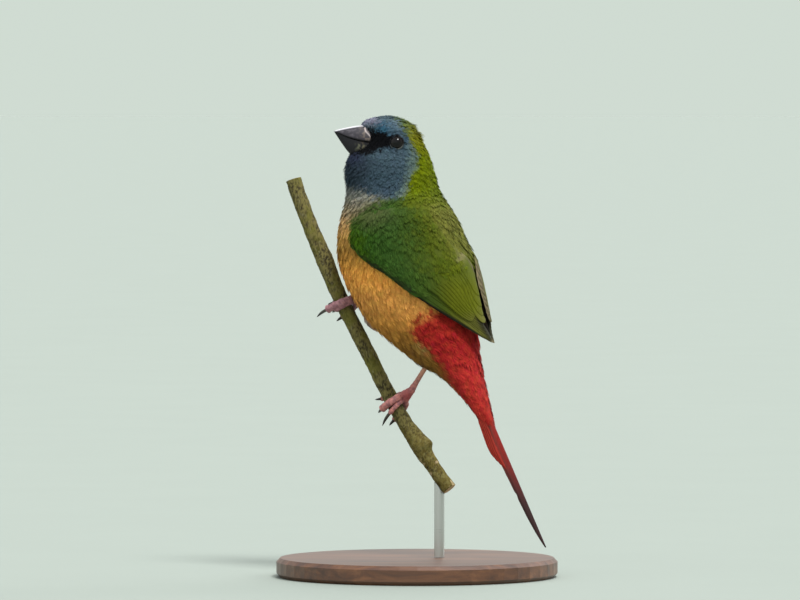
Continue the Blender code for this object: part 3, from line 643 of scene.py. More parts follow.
def wing_plumage(t, degrees):
    """The colours of the folded wing's coverts and webs at places on the mantle."""
    colour = mix(by(WING, degrees), COLLAR_OLIVE, 0.78 * ramp(t, 2.2, 0.5) * ramp(degrees, 116, 76))
    colour = mix(colour, BACK_BROWN, 0.45 * ramp(degrees, 128, 164) * ramp(t, 4.0, 2.4))
    colour = mix(colour, WEB_BUFF, 0.6 * bell(t, 3.35, 0.25) * bell(degrees, 161, 5))
    colour = mix(colour, WING_BRIGHT, 0.8 * ramp(degrees, 78, 66) * ramp(t, 1.3, 2.1))
    colour = mix(colour, WING_YELLOW, 0.7 * ramp(t, 3.8, 5.4) * ramp(degrees, 124, 140))
    return mix(colour, BACK_BROWN, 0.5 * ramp(t, 6.2, 7.4))


# Soft feathers

# How many places are tried for the roots of one coat, and the steps that spread them evenly
TRIES = 160000
EVEN_STEPS = (0.7548776662, 0.5698402910)


class Hide:
    """A surface that soft feathers grow on, with the way that they lie on it."""

    def __init__(self, loft, levels, turns, sunk, lie):
        self.loft, self.lie = loft, lie
        level, share = np.meshgrid(levels, np.linspace(0, 1, turns), indexing="ij")
        self.level, self.angle = level, self.turn(level, share)
        chart = np.stack([share, (level - levels[0]) / np.ptp(levels)], axis=-1)
        self.chart = chart.reshape(-1, 2)
        depth = sunk(loft.surface(level, self.angle))
        self.points = loft.point(level, self.angle, -depth).reshape(-1, 3)
        self.faces = grid_faces(*level.shape)
        middles = [(grid[:-1, :-1] + grid[1:, 1:]) / 2 for grid in (level, self.angle)]
        self.normals = loft.normal(*middles).reshape(-1, 3)
        self.tree = BVHTree.FromPolygons(self.points.tolist(), self.faces.tolist())

    def turn(self, level, share):
        return (share * 2 - 1) * math.pi

    def nearest(self, points):
        """The surface's nearest points, and its normals there."""
        found = [self.tree.find_nearest(p)[::2] for p in points.tolist()]
        return np.array([place for place, _ in found]), self.normals[[i for _, i in found]]

    def sow(self, levels, per_area, seed):
        """Levels and shares round of feather roots, as many to an area as per_area says."""
        rng = np.random.default_rng(seed)
        (start, end), tries = levels, np.arange(TRIES)
        way, share = ((0.5 + tries * step) % 1 for step in EVEN_STEPS)
        level = start + (end - start) * way
        angle = self.turn(level, share)
        around = (self.turn(level, share + 0.001) - self.turn(level, share - 0.001)) / 0.002
        a, b = self.loft.tangents(level, angle)
        area = np.linalg.norm(np.cross(a, b), axis=1) * abs(around) * (end - start) / TRIES
        kept = rng.random(TRIES) < area * per_area(self.loft.surface(level, angle))
        return level[kept], share[kept]


class WingHide(Hide):
    """The pad of one folded wing: a share of the way from its lower edge to its top."""

    def turn(self, level, share):
        return wing_angle(level, 0.015 + 0.97 * share)


def wing_edges(t):
    """Degrees round the mantle of the folded wing's lower edge and top edge at a level."""
    return read(WING_LOW, t), read(WING_TOP, t)


def wing_angle(t, q):
    """Radians round the mantle at a level, with q from the wing's lower edge to its top edge."""
    low, top = wing_edges(t)
    return np.radians(low + (top - low) * q)


# How far the trunk's axis leans back for each millimetre down, by height
AXIS_LEAN = (
    (45, 0.46), (57, 0.56), (65, 0.68), (75, 0.74), (85, 0.56), (95, 0.34), (105, 0.2), (124, 0.15),
)
BILL_BASE = np.array([-10.0, 0.0, 136.6])


def down_trunk(points, more_back=0.0):
    """The way down the trunk at places."""
    z = points[:, 2]
    return unit(np.stack([read(AXIS_LEAN, z) + more_back, 0 * z, -np.ones_like(z)], axis=1))


def laid(flow, normals):
    """Directions laid flat on a surface."""
    return unit(flow - normals * (flow * normals).sum(axis=1, keepdims=True))


def body_lie(points, normals):
    """The way that feathers point: back from the bill over the head, and down the trunk."""
    down = down_trunk(points)
    behind = ramp(points[:, 0], -7, 5)[:, None]
    face = unit(points - BILL_BASE) + down * (0.12 + 0.9 * behind)
    on_head = ramp(points[:, 2], 119, 128)[:, None]
    return laid(down * (1 - on_head) + face * on_head, normals)


# Along a soft feather, where its last barbs leave the shaft, how long the barbs are, and how
# thick in half widths of the feather, shared out among the pairs
LAST_BARB = 0.62
BARB_LENGTHS = (0.36, 0.48)
BARB_WIDTHS = (0.85, 1.3)
# A coat's feathers: steps along each, how many shapes there are, how far lengths and ways stray
# from the plan, and the size of each one's patch in the bake map
WALK_STEPS = 3
SHAPES = 6
LENGTHS = (0.82, 1.16)
STRAY_DEGREES = 6
PATCH = 0.003
# The head's feathers, from this height up, differ more in tone than the body's
HEAD_FROM = 117


def barb_template(pairs, rng):
    """One soft feather, as ribbons that leave its shaft in pairs and taper to points.

    Its points are (share along, half widths across, share of its rise), and each ribbon has
    five of them and three triangles.
    """
    points, triangles = [], []
    for i in range(2 * pairs + 1):
        side = 0.0 if i == 2 * pairs else (1.0 if i % 2 else -1.0)
        leave = LAST_BARB * (i // 2) / pairs
        reach = min(leave + rng.uniform(*BARB_LENGTHS), 1.0)
        bow = math.sin(math.pi * min(reach, 0.97) ** 1.3) ** 0.6
        out = side * bow + rng.uniform(-0.12, 0.12)
        thick = rng.uniform(*BARB_WIDTHS) / pairs
        middle = leave + 0.55 * (reach - leave)
        tilt, high = rng.uniform(-0.03, 0.03), rng.uniform(-0.04, 0.04)
        n = len(points)
        points += [
            (leave, -0.6 * thick, high - tilt),
            (leave, 0.6 * thick, high + tilt),
            (middle, 0.68 * out - thick, high - tilt),
            (middle, 0.68 * out + thick, high + tilt),
            (reach, out, high),
        ]
        triangles += [(n, n + 1, n + 3), (n, n + 3, n + 2), (n + 2, n + 3, n + 4)]
    return np.array(points), np.array(triangles)


def coat(hide, level, share, plan, colour_of, seed, pairs, mirrored=1):
    """Soft feathers at some roots: their points, triangles, colours and bake map.

    plan gives for each root's point a length, a width, how deep the root is sunk and how far
    the tip rises from there.
    """
    rng = np.random.default_rng(seed)
    count = len(level)
    angle = hide.turn(level, share)
    roots = hide.loft.surface(level, angle)
    length, width, sunk, rise = plan(roots)
    length = length * rng.uniform(*LENGTHS, count)

    # Each feather's place, the way out there and the way to its side, at stations along it
    normal = hide.loft.normal(level, angle)
    here = roots - normal * (sunk + 0.05)[:, None]
    yaw = np.radians(rng.normal(0, STRAY_DEGREES, count))[:, None]
    stations = []
    for _ in range(WALK_STEPS + 1):
        ahead = hide.lie(here, normal)
        ahead = ahead * np.cos(yaw) + np.cross(normal, ahead) * np.sin(yaw)
        stations.append(np.stack([here, normal, np.cross(normal, ahead)], axis=1))
        here, normal = hide.nearest(here + ahead * (length / WALK_STEPS)[:, None])
    stations = np.stack(stations, axis=1)

    rise = rise * (0.62 + 0.75 * rng.uniform(0, 1, count) ** 2)
    varied = np.where(roots[:, 2] > HEAD_FROM, 0.13, 0.08)[:, None]
    tint = (1 + varied * rng.uniform(-1, 1, (count, 1))) * rng.uniform(0.97, 1.03, (count, 3))
    strays = rng.normal(0, 1, (count, 3))
    near_root, near_tip = (
        colour_of(stations[:, step, 0], level, angle, strays) * tint for step in (1, WALK_STEPS)
    )
    chart = np.stack([share, (level - level.min()) / np.ptp(level)], axis=1)
    chart = PATCH + chart * (1 - 2 * PATCH)
    templates = [barb_template(pairs, rng) for _ in range(SHAPES)]
    kinds = rng.integers(0, SHAPES, count)
    points, triangles, colours, uvs, start = [], [], [], [], 0
    for kind, (shape, faces) in enumerate(templates):
        chosen = np.flatnonzero(kinds == kind)
        along, across, high = shape.T
        i = np.minimum((along * WALK_STEPS).astype(int), WALK_STEPS - 1)
        part = (along * WALK_STEPS - i)[:, None, None]
        between = stations[chosen][:, i] * (1 - part) + stations[chosen][:, i + 1] * part
        spot, out, sideways = np.moveaxis(between, 2, 0)
        wide = width[chosen, None]
        half = across * wide / 2
        arch = along * (1.35 - 0.35 * along)
        lift = rise[chosen, None] * arch + high * np.minimum(wide, 1.6) - 0.06 * half**2
        points.append((spot + sideways * half[..., None] + out * lift[..., None]).reshape(-1, 3))
        offsets = start + np.arange(len(chosen))[:, None, None] * len(shape)
        triangles.append((faces + offsets).reshape(-1, 3))
        start += len(chosen) * len(shape)
        barb_tone = rng.uniform(0.92, 1.08, (len(chosen), len(shape) // 5)).repeat(5, axis=1)
        tone = mix(near_root[chosen][:, None], near_tip[chosen][:, None], ramp(along, 0.3, 0.9))
        # Painted shade: each feather darker towards its root, under the feathers over it; barb_tone
        # varies at random
        tone = tone * ((0.85 + 0.17 * along) * barb_tone)[..., None]
        colours.append(tone.reshape(-1, 3))
        patch = np.stack([across / 2.4, along - 0.5], axis=1) * PATCH * 0.9
        uvs.append((chart[chosen][:, None] + patch).reshape(-1, 2))
    points = np.concatenate(points) * (1, mirrored, 1)
    return points, np.concatenate(triangles), np.concatenate(colours), np.concatenate(uvs)


# The body's skin and coat

def coat_depth(points):
    """How far the skin lies under the coat's tips: least on the face."""
    from_bill = np.linalg.norm(points - BILL_BASE, axis=-1)
    on_head = read(((3, 0.3), (10, 0.5), (20, 0.8)), from_bill)
    return np.where(points[..., 2] > 118, on_head, 0.85)


def bill_at(x):
    """The heights of the bill's culmen, gape line and lowest edge, and half its width, along x."""
    table = np.array(BILL)[::-1].T
    return [np.interp(x, table[0], row) for row in table[1:]]


def inside_bill(points):
    """Whether places lie well within the base of the bill."""
    x, y, z = points.T
    culmen, gape, low, half = bill_at(x)
    tall = np.where(z > gape, culmen - gape, gape - low)
    return (x < -6) & ((y / half) ** 2 + ((z - gape) / tall) ** 2 < 0.6)


def under_wing(level, angle):
    """Whether the folded wing hides a place on the body."""
    t, degrees = level - BODY_NAMES.index("collar"), np.degrees(abs(angle))
    low, top = wing_edges(t)
    return (t > 1.0) & (t < 7.6) & (degrees > low + 9) & (degrees < top - 6)


# Where feathers stand out from the head: x and z of their roots, reach, and how much more
RAISED = ((5.2, 141.6, 1.2, 1.4), (7.4, 139.2, 1.2, 1.5), (-14.8, 128.2, 3.6, 1.2))
# A body feather's length by how far from the bill it grows, and how much longer it is low down
LENGTH_FROM_BILL = ((3, 0.9), (6, 1.15), (10, 1.6), (18, 2.3), (28, 3.2), (40, 4.2), (60, 5.0))
LONGER_BELOW = ((56, 1.3), (70, 1.15), (80, 1.0))


def body_plan(points):
    """Each body feather's length, width, how deep it is rooted, and how far its tip rises."""
    x, z = points[:, 0], points[:, 2]
    from_bill = np.linalg.norm(points - BILL_BASE, axis=1)
    length = read(LENGTH_FROM_BILL, from_bill) * read(LONGER_BELOW, z)
    width = length * read(((1, 0.55), (5, 0.5)), length)
    depth = coat_depth(points)
    raised = 1 + sum(more * near(points, at, reach) for *at, reach, more in RAISED)
    between_wings = ramp(x, 21, 24) * ramp(z, 84, 88) * ramp(z, 108, 103)
    return length, width, depth, (depth + 0.08) * raised + 0.9 * between_wings


def body_density(points):
    """Feathers for each square millimetre."""
    length, *_ = body_plan(points)
    return np.clip(1 / (0.185 * length + 0.05) ** 2, 0.9, 9.5)


def body_colours(points, level, angle, strays):
    return plumage(points + 0.5 * strays)


def eye_frame(side):
    """The middle of an eyeball and the unit way out of it, on the straight bird."""
    t, angle = body.from_side(*EYE_AT)
    flip = np.array([1, -side, 1])
    out = body.normal(t, angle)
    return (body.point(t, angle) - out * EYE_DEPTH) * flip, out * flip


BODY_HIDE_LEVELS = np.concatenate([np.linspace(0, 1, 24), np.linspace(1.06, COVERTS_END, 260)])
# Each length of the coat: its name, the levels on the body that it grows between, the pairs of
# barbs in a feather, and its slot
COAT_LENGTHS = (
    ("coat_crown", 0.02, 3.0, 9, "blue_feathers"),
    ("coat_face", 3.0, 4.6, 9, "blue_feathers"),
    ("coat_cheeks", 4.6, 6.2, 9, "blue_feathers"),
    ("coat_throat", 6.2, 8.4, 9, "blue_feathers"),
    ("coat_collar", 8.4, 9.8, 12, "buff_feathers"),
    ("coat_shoulders", 9.8, 11.0, 12, "buff_feathers"),
    ("coat_breast", 11.0, 14.0, 12, "buff_feathers"),
    ("coat_belly", 14.0, 16.6, 12, "buff_feathers"),
    ("coat_loin", 16.6, 18.8, 12, "buff_feathers"),
    ("coat_vent", 18.8, 20.6, 12, "buff_feathers"),
    ("coat_tail", 20.6, 22.4, 12, "red_feathers"),
)
# How far from the middle of an eyeball every feather starts and lies
EYE_CLEAR = 2.7


def make_body(feathers):
    hide = Hide(body, BODY_HIDE_LEVELS, 181, coat_depth, body_lie)
    # The skin is painted darker than its feathers: painted shade between them
    tone = UNDER_COAT_SHADE * plumage(hide.points)
    skin = new_piece("skin", pose(hide.points), hide.faces, feathers, tone, hide.chart)
    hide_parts("head", "neck", "torso")
    eyes = [eye_frame(side)[0] for side in (-1, 1)]
    for number, (name, start, end, pairs, slot) in enumerate(COAT_LENGTHS):
        level, share = hide.sow((start, end), body_density, 100 + number)
        angle = hide.turn(level, share)
        roots = body.surface(level, angle)
        bare = inside_bill(roots) | under_wing(level, angle)
        ahead = body_lie(roots, body.normal(level, angle))
        for middle in eyes:
            for reach in (0.0, 0.9):
                bare |= np.linalg.norm(roots + ahead * reach - middle, axis=1) < EYE_CLEAR
        points, triangles, colours, uvs = coat(
            hide, level[~bare], share[~bare], body_plan, body_colours, 200 + number, pairs
        )
        new_piece(name, pose(points), triangles, feathers, colours, uvs)


# The wings

WING_SKIN = 0.95


def wing_depth(points):
    return np.full(points.shape[:-1], WING_SKIN)


LOW_LEVELS = np.linspace(0.7, 5.6, 80)
LOW_EDGE = mantle.point(LOW_LEVELS, wing_angle(LOW_LEVELS, 0), -WING_SKIN)
LOW_EDGE_AHEAD = unit(np.gradient(LOW_EDGE, axis=0))


def beside_low_edge(points):
    """How far places on the left wing lie from its lower edge, and the way that it runs there."""
    away = np.linalg.norm(points[:, None] - LOW_EDGE[None], axis=-1)
    return away.min(axis=1), LOW_EDGE_AHEAD[away.argmin(axis=1)]


def wing_plan(points):
    """Each small covert's length, width, depth of root and rise of tip."""
    length = read(((88, 5.4), (100, 4.6), (114, 3.2)), points[:, 2])
    width = 0.46 * length * (0.5 + 0.5 * ramp(beside_low_edge(points)[0], 1.2, 3.7))
    depth = wing_depth(points)
    return length, width, depth, depth + 0.12


def wing_density(points):
    length, *_ = wing_plan(points)
    return 1 / (0.17 * length) ** 2


def wing_colours(points, level, angle, strays):
    """The coverts' own colours, dark along the wing's lower edge."""
    away, _ = beside_low_edge(points)
    colour = wing_plumage(level + 0.6, np.degrees(angle) + 3 * strays[:, 0])
    return mix(colour, QUILL_DARK, 0.85 * ramp(away, 2.3, 1.3) * ramp(level, 1.4, 2.3))


def slab(top, under, mirrored):
    """Points and quads of a thin solid between two like grids."""
    grid = np.arange(top.shape[0] * top.shape[1]).reshape(top.shape[:2])
    points = np.concatenate([top.reshape(-1, 3), under.reshape(-1, 3)]) * (1, mirrored, 1)
    upper = grid_faces(*grid.shape)
    rim = np.concatenate([grid[:-1, 0], grid[-1, :-1], grid[:0:-1, -1], grid[0, :0:-1]])
    after = np.roll(rim, -1)
    edge = np.stack([rim, after, after + grid.size, rim + grid.size], axis=1)
    faces = np.concatenate([upper, (upper + grid.size)[:, ::-1], edge[:, ::-1]])
    return points, faces[:, ::mirrored]


def vane_width(share, round_from, fringe):
    """A vane's width along its length: narrow at the root, round at the tip, a little ragged."""
    rounding = np.clip((share - round_from) / (1 - round_from), 0, 1)
    full = (0.6 + 0.4 * ramp(share, 0, 0.4)) * np.sqrt(np.maximum(1 - rounding**2.2, 0))
    return np.maximum(full, 0.05) * fringe


class Vanes:
    """Large feathers gathered into one piece, each with its own patch of the bake map."""

    def __init__(self, seed, mirrored):
        self.rng, self.mirrored = np.random.default_rng(seed), mirrored
        self.points, self.faces, self.colours, self.marks, self.patches = [], [], [], [], []
        self.start = 0

    def fringe(self, stations):
        """Ragged edges: a fine ripple, and a split in the web."""
        ragged = 1 + self.rng.uniform(-0.012, 0.012, stations)
        ragged[int(self.rng.uniform(0.4, 0.92) * stations)] *= self.rng.uniform(0.86, 0.96)
        return ragged

    def add(self, top, under, colours, half):
        """A vane from the grids of its two faces, with the colours of its upper one."""
        rows, columns = top.shape[:2]
        points, faces = slab(top, under, self.mirrored)
        across = np.linspace(-1, 1, columns)[None] * np.broadcast_to(half, (rows,))[:, None]
        steps = np.linalg.norm(np.diff(top[:, columns // 2], axis=0), axis=1)
        along = np.concatenate([[0], np.cumsum(steps)])[:, None]
        number = np.full((rows, columns), 7.3 * len(self.points))
        marks = np.stack(np.broadcast_arrays(across, along, number), axis=-1).reshape(-1, 3)
        chart = np.stack(np.meshgrid(np.linspace(0, 1, columns), np.linspace(0, 1, rows)), axis=-1)
        self.points.append(points)
        self.faces.append(faces + self.start)
        self.start += len(points)
        flat = np.broadcast_to(colours, (rows, columns, 3)).reshape(-1, 3)
        self.colours.append(np.concatenate([flat, 0.55 * flat + 0.45 * flat.mean()]))
        self.marks.append(np.concatenate([marks, marks]))
        self.patches += [chart.reshape(-1, 2)] * 2

    def piece(self, name, slot, material):
        """All the vanes as one piece, their faces laid out side by side in the bake map."""
        across = math.ceil(math.sqrt(len(self.patches)))
        uvs = [
            (np.array(divmod(i, across)) + 0.04 + 0.92 * chart) / across
            for i, chart in enumerate(self.patches)
        ]
        return new_piece(
            name, pose(np.concatenate(self.points)), np.concatenate(self.faces), material,
            np.concatenate(self.colours), np.concatenate(uvs), np.concatenate(self.marks),
        )


VANE_STATIONS = 26
ACROSS = np.linspace(-1, 1, 9)
SHAFT_AT = -0.2
# How deep a wing feather's root is sunk, and how thick the feather is at its root and its tip
ROOT_SINK = 0.8
ROOT_THICK = 0.3
TIP_THICK = 0.14


def wing_vane(vanes, root, tip, width, lift, colour_of, round_from=0.6):
    """A feather that lies along the mantle, its lower edge proud and its upper edge tucked in."""
    share = 1 - (1 - np.linspace(0, 1, VANE_STATIONS)) ** 1.25
    t = root[0] + (tip[0] - root[0]) * share
    angle = wing_angle(t, root[1] + (tip[1] - root[1]) * share)
    ahead = np.gradient(mantle.surface(t, angle), axis=0)
    side = unit(np.cross(mantle.normal(t, angle), ahead))
    side *= np.sign((side * mantle.tangents(t, angle)[1]).sum(axis=1))[:, None]
    clear = read(MIDLINE_CLEAR[vanes.mirrored], t)
    here = lift - ROOT_SINK * np.maximum(1 - share / 0.35, 0) + 0.15 * share
    here = here - 0.35 * ramp(t, 7.2, 8.2) * (vanes.mirrored < 0)
    thick = ROOT_THICK - (ROOT_THICK - TIP_THICK) * share**3
    top, under = [], []
    for column in ACROSS:
        ragged = vanes.fringe(VANE_STATIONS) if abs(column) == 1 else 1.0
        half = 0.5 * width * vane_width(share, round_from, ragged)
        level, turn = mantle.moved(t, angle, side * (half * column)[:, None])
        level = np.minimum(level, mantle.last - 0.6)
        widest = math.pi - np.arcsin(clear / curve_through(mantle.rows, level)[:, 4])
        turn = np.minimum(turn, widest)
        ridge = 0.1 * bell(column, SHAFT_AT, 0.13) * (1 - 0.6 * share)
        high = here - SHINGLE * column - 0.1 * column**2
        top.append(mantle.point(level, turn, high + ridge))
        under.append(mantle.point(level, turn, high - thick * (1 - 0.6 * abs(column))))
    colours = colour_of(t[:, None], np.degrees(angle)[:, None], ACROSS, share[:, None])
    colours = colours * IN_FOLD * vanes.rng.uniform(0.94, 1.06)
    vanes.add(np.stack(top, axis=1), np.stack(under, axis=1), colours, 0.5 * width)


# The colours of a wing feather, by level and degrees on the mantle, from its outer rim (-1)
# to its inner one (1), and by the share of its length

def primary_colours(t, degrees, column, share):
    """Green on the outer web, then dark towards the tip, with a thin brown rim."""
    dark = np.maximum(ramp(share, 0.8, 0.96), ramp(column, -0.1, 0.3))
    colour = mix(wing_plumage(t, degrees), QUILL_DARK, 0.9 * dark)
    colour = mix(colour, WEB_BROWN, 0.35 * ramp(column, -0.8, -1) * ramp(share, 0.5, 0.9))
    return mix(colour, WEB_BUFF, 0.6 * ramp(t, 8.7, 9))


def outer_primary_colours(t, degrees, column, share):
    """The lowest quill has a dark outer rim all along, and is dark and then buff at its tip."""
    rim = -0.35 - 0.3 * ramp(share, 0.6, 0.3)
    dark = np.maximum(ramp(column, rim, rim - 0.2), ramp(share, 0.75, 0.9))
    colour = mix(wing_plumage(t, degrees), QUILL_DARK * 0.7, dark)
    colour = mix(colour, WEB_BROWN, 0.5 * ramp(column, -0.75, -0.95) * ramp(share, 0.5, 0.9))
    return mix(colour, WEB_BUFF, 0.5 * ramp(share, 0.94, 0.99))


def secondary_colours(t, degrees, column, share):
    """The colour of the coverts over the outer web, and dusky on the inner one."""
    return mix(wing_plumage(t, degrees), QUILL_DARK, 0.45 * ramp(column, 0.55, 0.9))


def tertial_colours(t, degrees, column, share, brown_from=0.45):
    """Green, with a brown inner web rimmed with buff."""
    brown = ramp(column, brown_from, brown_from + 0.3) * ramp(share, 0.25, 0.55)
    colour = mix(wing_plumage(t, degrees), WEB_BROWN, brown)
    return mix(colour, WEB_BUFF, 0.9 * ramp(column, 0.82, 0.96) * ramp(share, 0.35, 0.65))


def worn_tertial_colours(t, degrees, column, share):
    """The right wing's are browner, and mottled."""
    colour = tertial_colours(t, degrees, column, share, -0.5)
    dark, pale = (smooth(np.sin(t * a + column * b) * 1.5 - 0.5) for a, b in ((23, 8), (17, 5)))
    colour = mix(colour, QUILL_DARK, 0.5 * dark * ramp(column, -0.5, -0.1))
    return mix(colour, WEB_BUFF, 0.6 * pale * ramp(column, -0.2, 0.2))


def covert_colours(t, degrees, column, share):
    """The coverts' green, a little darker along the inner rim."""
    return wing_plumage(t, degrees) * (1 - 0.15 * ramp(column, 0.5, 1))[..., None]


def fill_wing(vanes):
    """The folded wing's tiers of feathers, each from its lowest feather to its top one."""
    steps = np.linspace(0, len(PRIMARY_TIPS) - 1, 9)
    for i, tip in enumerate(curve_through(PRIMARY_TIPS, steps)):
        root = (3.3 + 0.08 * i, 0.04 + 0.048 * i)
        colours = primary_colours if i else outer_primary_colours
        wing_vane(vanes, root, tip, 3.2 + 0.1 * i, -1.1 + 0.07 * i, colours, 0.8 if i < 3 else 0.62)
    for i in range(8):
        root, tip = (3.4 - 0.05 * i, 0.3 + 0.055 * i), (7.2 - 0.08 * i, 0.45 + 0.047 * i)
        wing_vane(vanes, root, tip, 4.6, -0.52 + 0.03 * i, secondary_colours, 0.72)
    tertials = tertial_colours if vanes.mirrored > 0 else worn_tertial_colours
    for i, tip in enumerate(((7.5, 0.82), (7.0, 0.87), (6.45, 0.91), (5.8, 0.94))):
        root, moved = (3.2 - 0.2 * i, 0.79 + 0.05 * i), TERTIALS_MOVED[vanes.mirrored]
        wing_vane(vanes, root, (tip[0], tip[1] + moved), 6.0, -0.25 + 0.07 * i, tertials, 0.65)
    for i in range(5):
        root, tip = (2.9 + 0.04 * i, 0.1 + 0.04 * i), (5.0 - 0.1 * i, 0.13 + 0.04 * i)
        wing_vane(vanes, root, tip, 2.8, -0.62 + 0.02 * i, covert_colours)
    for i in range(12):
        late = vanes.rng.uniform(-0.14, 0.14)
        root, tip = (2.5 - 0.02 * i, 0.12 + 0.056 * i), (4.45 - 0.03 * i + late, 0.18 + 0.054 * i)
        wing_vane(vanes, root, tip, 4.0, -0.46 + 0.016 * i, covert_colours, 0.62)


def wing_lie(points, normals):
    """Coverts lie down the wing, a little towards its top edge, and along its lower edge."""
    down = down_trunk(points, 0.1)
    away, along_edge = beside_low_edge(points)
    return laid(down + (along_edge - down) * ramp(away, 5, 1)[:, None], normals)


def covered(level, share):
    """Whether the small coverts reach as far down the wing as a place: their end is uneven."""
    end = 4.2 - 0.55 * ramp(share, 0.3, 0.55) + 0.3 * (share < 0.25) + 0.25 * (share < 0.1)
    end = end + 0.2 * np.sin(share * 61) + 0.15 * np.sin(level * 400)
    return (level < end) & (share > 0.03 * ramp(level, 1.6, 2.4))


def make_wings(feathers, webs):
    for number, (side, mirrored) in enumerate((("left", 1), ("right", -1))):
        pad = WingHide(mantle, np.linspace(0.32, 5.4, 94), 60, wing_depth, wing_lie)
        # The wing's skin is painted darker than its coverts: painted shade between them
        tone = UNDER_COAT_SHADE * wing_plumage(pad.level, np.degrees(pad.angle)).reshape(-1, 3)
        new_piece(
            f"wing_{side}_skin", pose(pad.points * (1, mirrored, 1)), pad.faces[:, ::mirrored],
            feathers, tone, pad.chart,
        )
        vanes = Vanes(300 + number, mirrored)
        fill_wing(vanes)
        quills = vanes.piece(f"wing_{side}_quills", "green_feathers", webs)
        level, share = pad.sow((0.34, 4.8), wing_density, 320 + number)
        kept = covered(level, share)
        points, triangles, colours, uvs = coat(
            pad, level[kept], share[kept], wing_plan, wing_colours, 340 + number, 12, mirrored
        )
        new_piece(
            f"wing_{side}_coverts", pose(points), triangles, feathers, colours, uvs
        )
        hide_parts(f"wing_{side}")


# The tail

# The pins' width along their length, as a share of their widest
PIN_WIDTHS = (
    (0, 0.8), (0.3, 1.0), (0.45, 1.0), (0.6, 0.86), (0.8, 0.66), (0.9, 0.46), (0.97, 0.24), (1, 0.05),
)


def tail_vane(vanes, length, half, side, layer):
    """One of a pair of tail feathers. The pins on top are drawn out to fine points."""
    pin = layer == 0
    along = unit(TAIL_TIP - TAIL_ROOT)
    out = np.array([-along[2], 0, along[0]])
    share = np.linspace(0, 1, 40 if pin else VANE_STATIONS)
    if pin:
        wide = half * read(PIN_WIDTHS, share)
        middle = side * 0.3 * (1 - 0.9 * share)
    else:
        wide = half * vane_width(share, 0.72, 1.0)
        middle = side * (0.6 + 0.36 * layer * (0.5 + 0.4 * share))
    depth = 0.1 * side - 0.3 * layer
    slope = read(((8, 0.3), (22, 0.85 if pin else 0.5)), share * length)
    thick = 0.34 - 0.16 * share**3
    top, under = [], []
    for column in ACROSS:
        ragged = vanes.fringe(len(share)) if abs(column) == 1 else 1.0
        y = middle + column * wide * ragged
        ridge = 0.1 * bell(column, 0, 0.14) * (1 - 0.7 * share)
        high = depth - slope * (np.sqrt(y * y + 0.16) - 0.4)
        base = TAIL_ROOT + along * (length * share)[:, None] + np.stack([0 * y, y, 0 * y], axis=1)
        top.append(base + out * (high + ridge)[:, None])
        under.append(base + out * (high - thick * (1 - 0.6 * abs(column)))[:, None])
    # From the bird's right to its left, so that the faces look out
    top, under = np.stack(top[::-1], axis=1), np.stack(under[::-1], axis=1)
    across = ACROSS[::-1]
    if pin:
        colour = mix(TAIL_RED, TAIL_BROWN, 0.6 * ramp(abs(across), 0.6, 0.9))
        colour = mix(colour, TAIL_TIP_DARK, ramp(share, 0.3, 0.78)[:, None])
    else:
        colour = mix(TAIL_BROWN * 0.7, TAIL_RED, 0.35 + 0.65 * ramp(across * side, 0.1, 0.5))
        colour = mix(colour, TAIL_ORANGE, 0.7 * ramp(across * side, 0.6, 0.9))
    vanes.add(top, under, colour, half)


def make_tail(webs):
    vanes = Vanes(400, 1)
    for layer, (length, half) in enumerate(TAIL_PAIRS):
        for side in (-1, 1):
            tail_vane(vanes, length, half, side, layer)
    quills = vanes.piece("tail_quills", "red_feathers", webs)
    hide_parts("tail")


# Rods, cones and other turned shapes

def turned_mesh(rings):
    """Triangles of a closed tube through rings, shut by a point at each end."""
    rings = np.asarray(rings)
    count, sides = rings.shape[:2]
    points = np.concatenate([rings.reshape(-1, 3), rings[[0, -1]].mean(axis=1)])
    quads = grid_faces(count, sides, closed=True)
    i = np.arange(sides)
    after, last, end = (i + 1) % sides, (count - 1) * sides, np.full(sides, count * sides)
    first_cap = np.stack([end, i, after], axis=1)
    last_cap = np.stack([end + 1, last + after, last + i], axis=1)
    faces = np.concatenate([quads[:, (0, 1, 2)], quads[:, (0, 2, 3)], first_cap, last_cap])
    a, b, c = (points[faces[:, k]] for k in range(3))
    if (a * np.cross(b, c)).sum() < 0:
        faces = faces[:, ::-1]
    return points, faces


def rings_round(path, radii, sides, up, relief=None, squash=1.0):
    """Rings square to a path. relief says how far they stand out, by length along and angle."""
    path, radii = np.asarray(path, float), np.asarray(radii, float)
    ahead = unit(np.gradient(path, axis=0))
    across = unit(np.cross(ahead, up))
    up = np.cross(across, ahead)
    run = np.concatenate([[0], np.cumsum(np.linalg.norm(np.diff(path, axis=0), axis=1))])
    angles = round_turn(sides)
    radius = radii[:, None] * np.ones(sides)
    if relief is not None:
        radius = radius * (1 + relief(run[:, None], angles[None]))
    return (
        path[:, None]
        + up[:, None] * (radius * np.cos(angles))[..., None]
        + across[:, None] * (radius * np.sin(angles) * squash)[..., None]
    )


def joined(meshes):
    """Several (points, faces) as one."""
    starts = np.cumsum([0, *[len(points) for points, _ in meshes]])
    faces = [faces + start for (_, faces), start in zip(meshes, starts)]
    return np.concatenate([points for points, _ in meshes]), np.concatenate(faces)


def cloud(points, drop=0.8, octaves=3):
    """Cloudy noise at places, mostly between -1 and 1."""
    return np.array([noise.fractal(Vector(p), drop, 2.0, octaves) for p in points])


# The bill

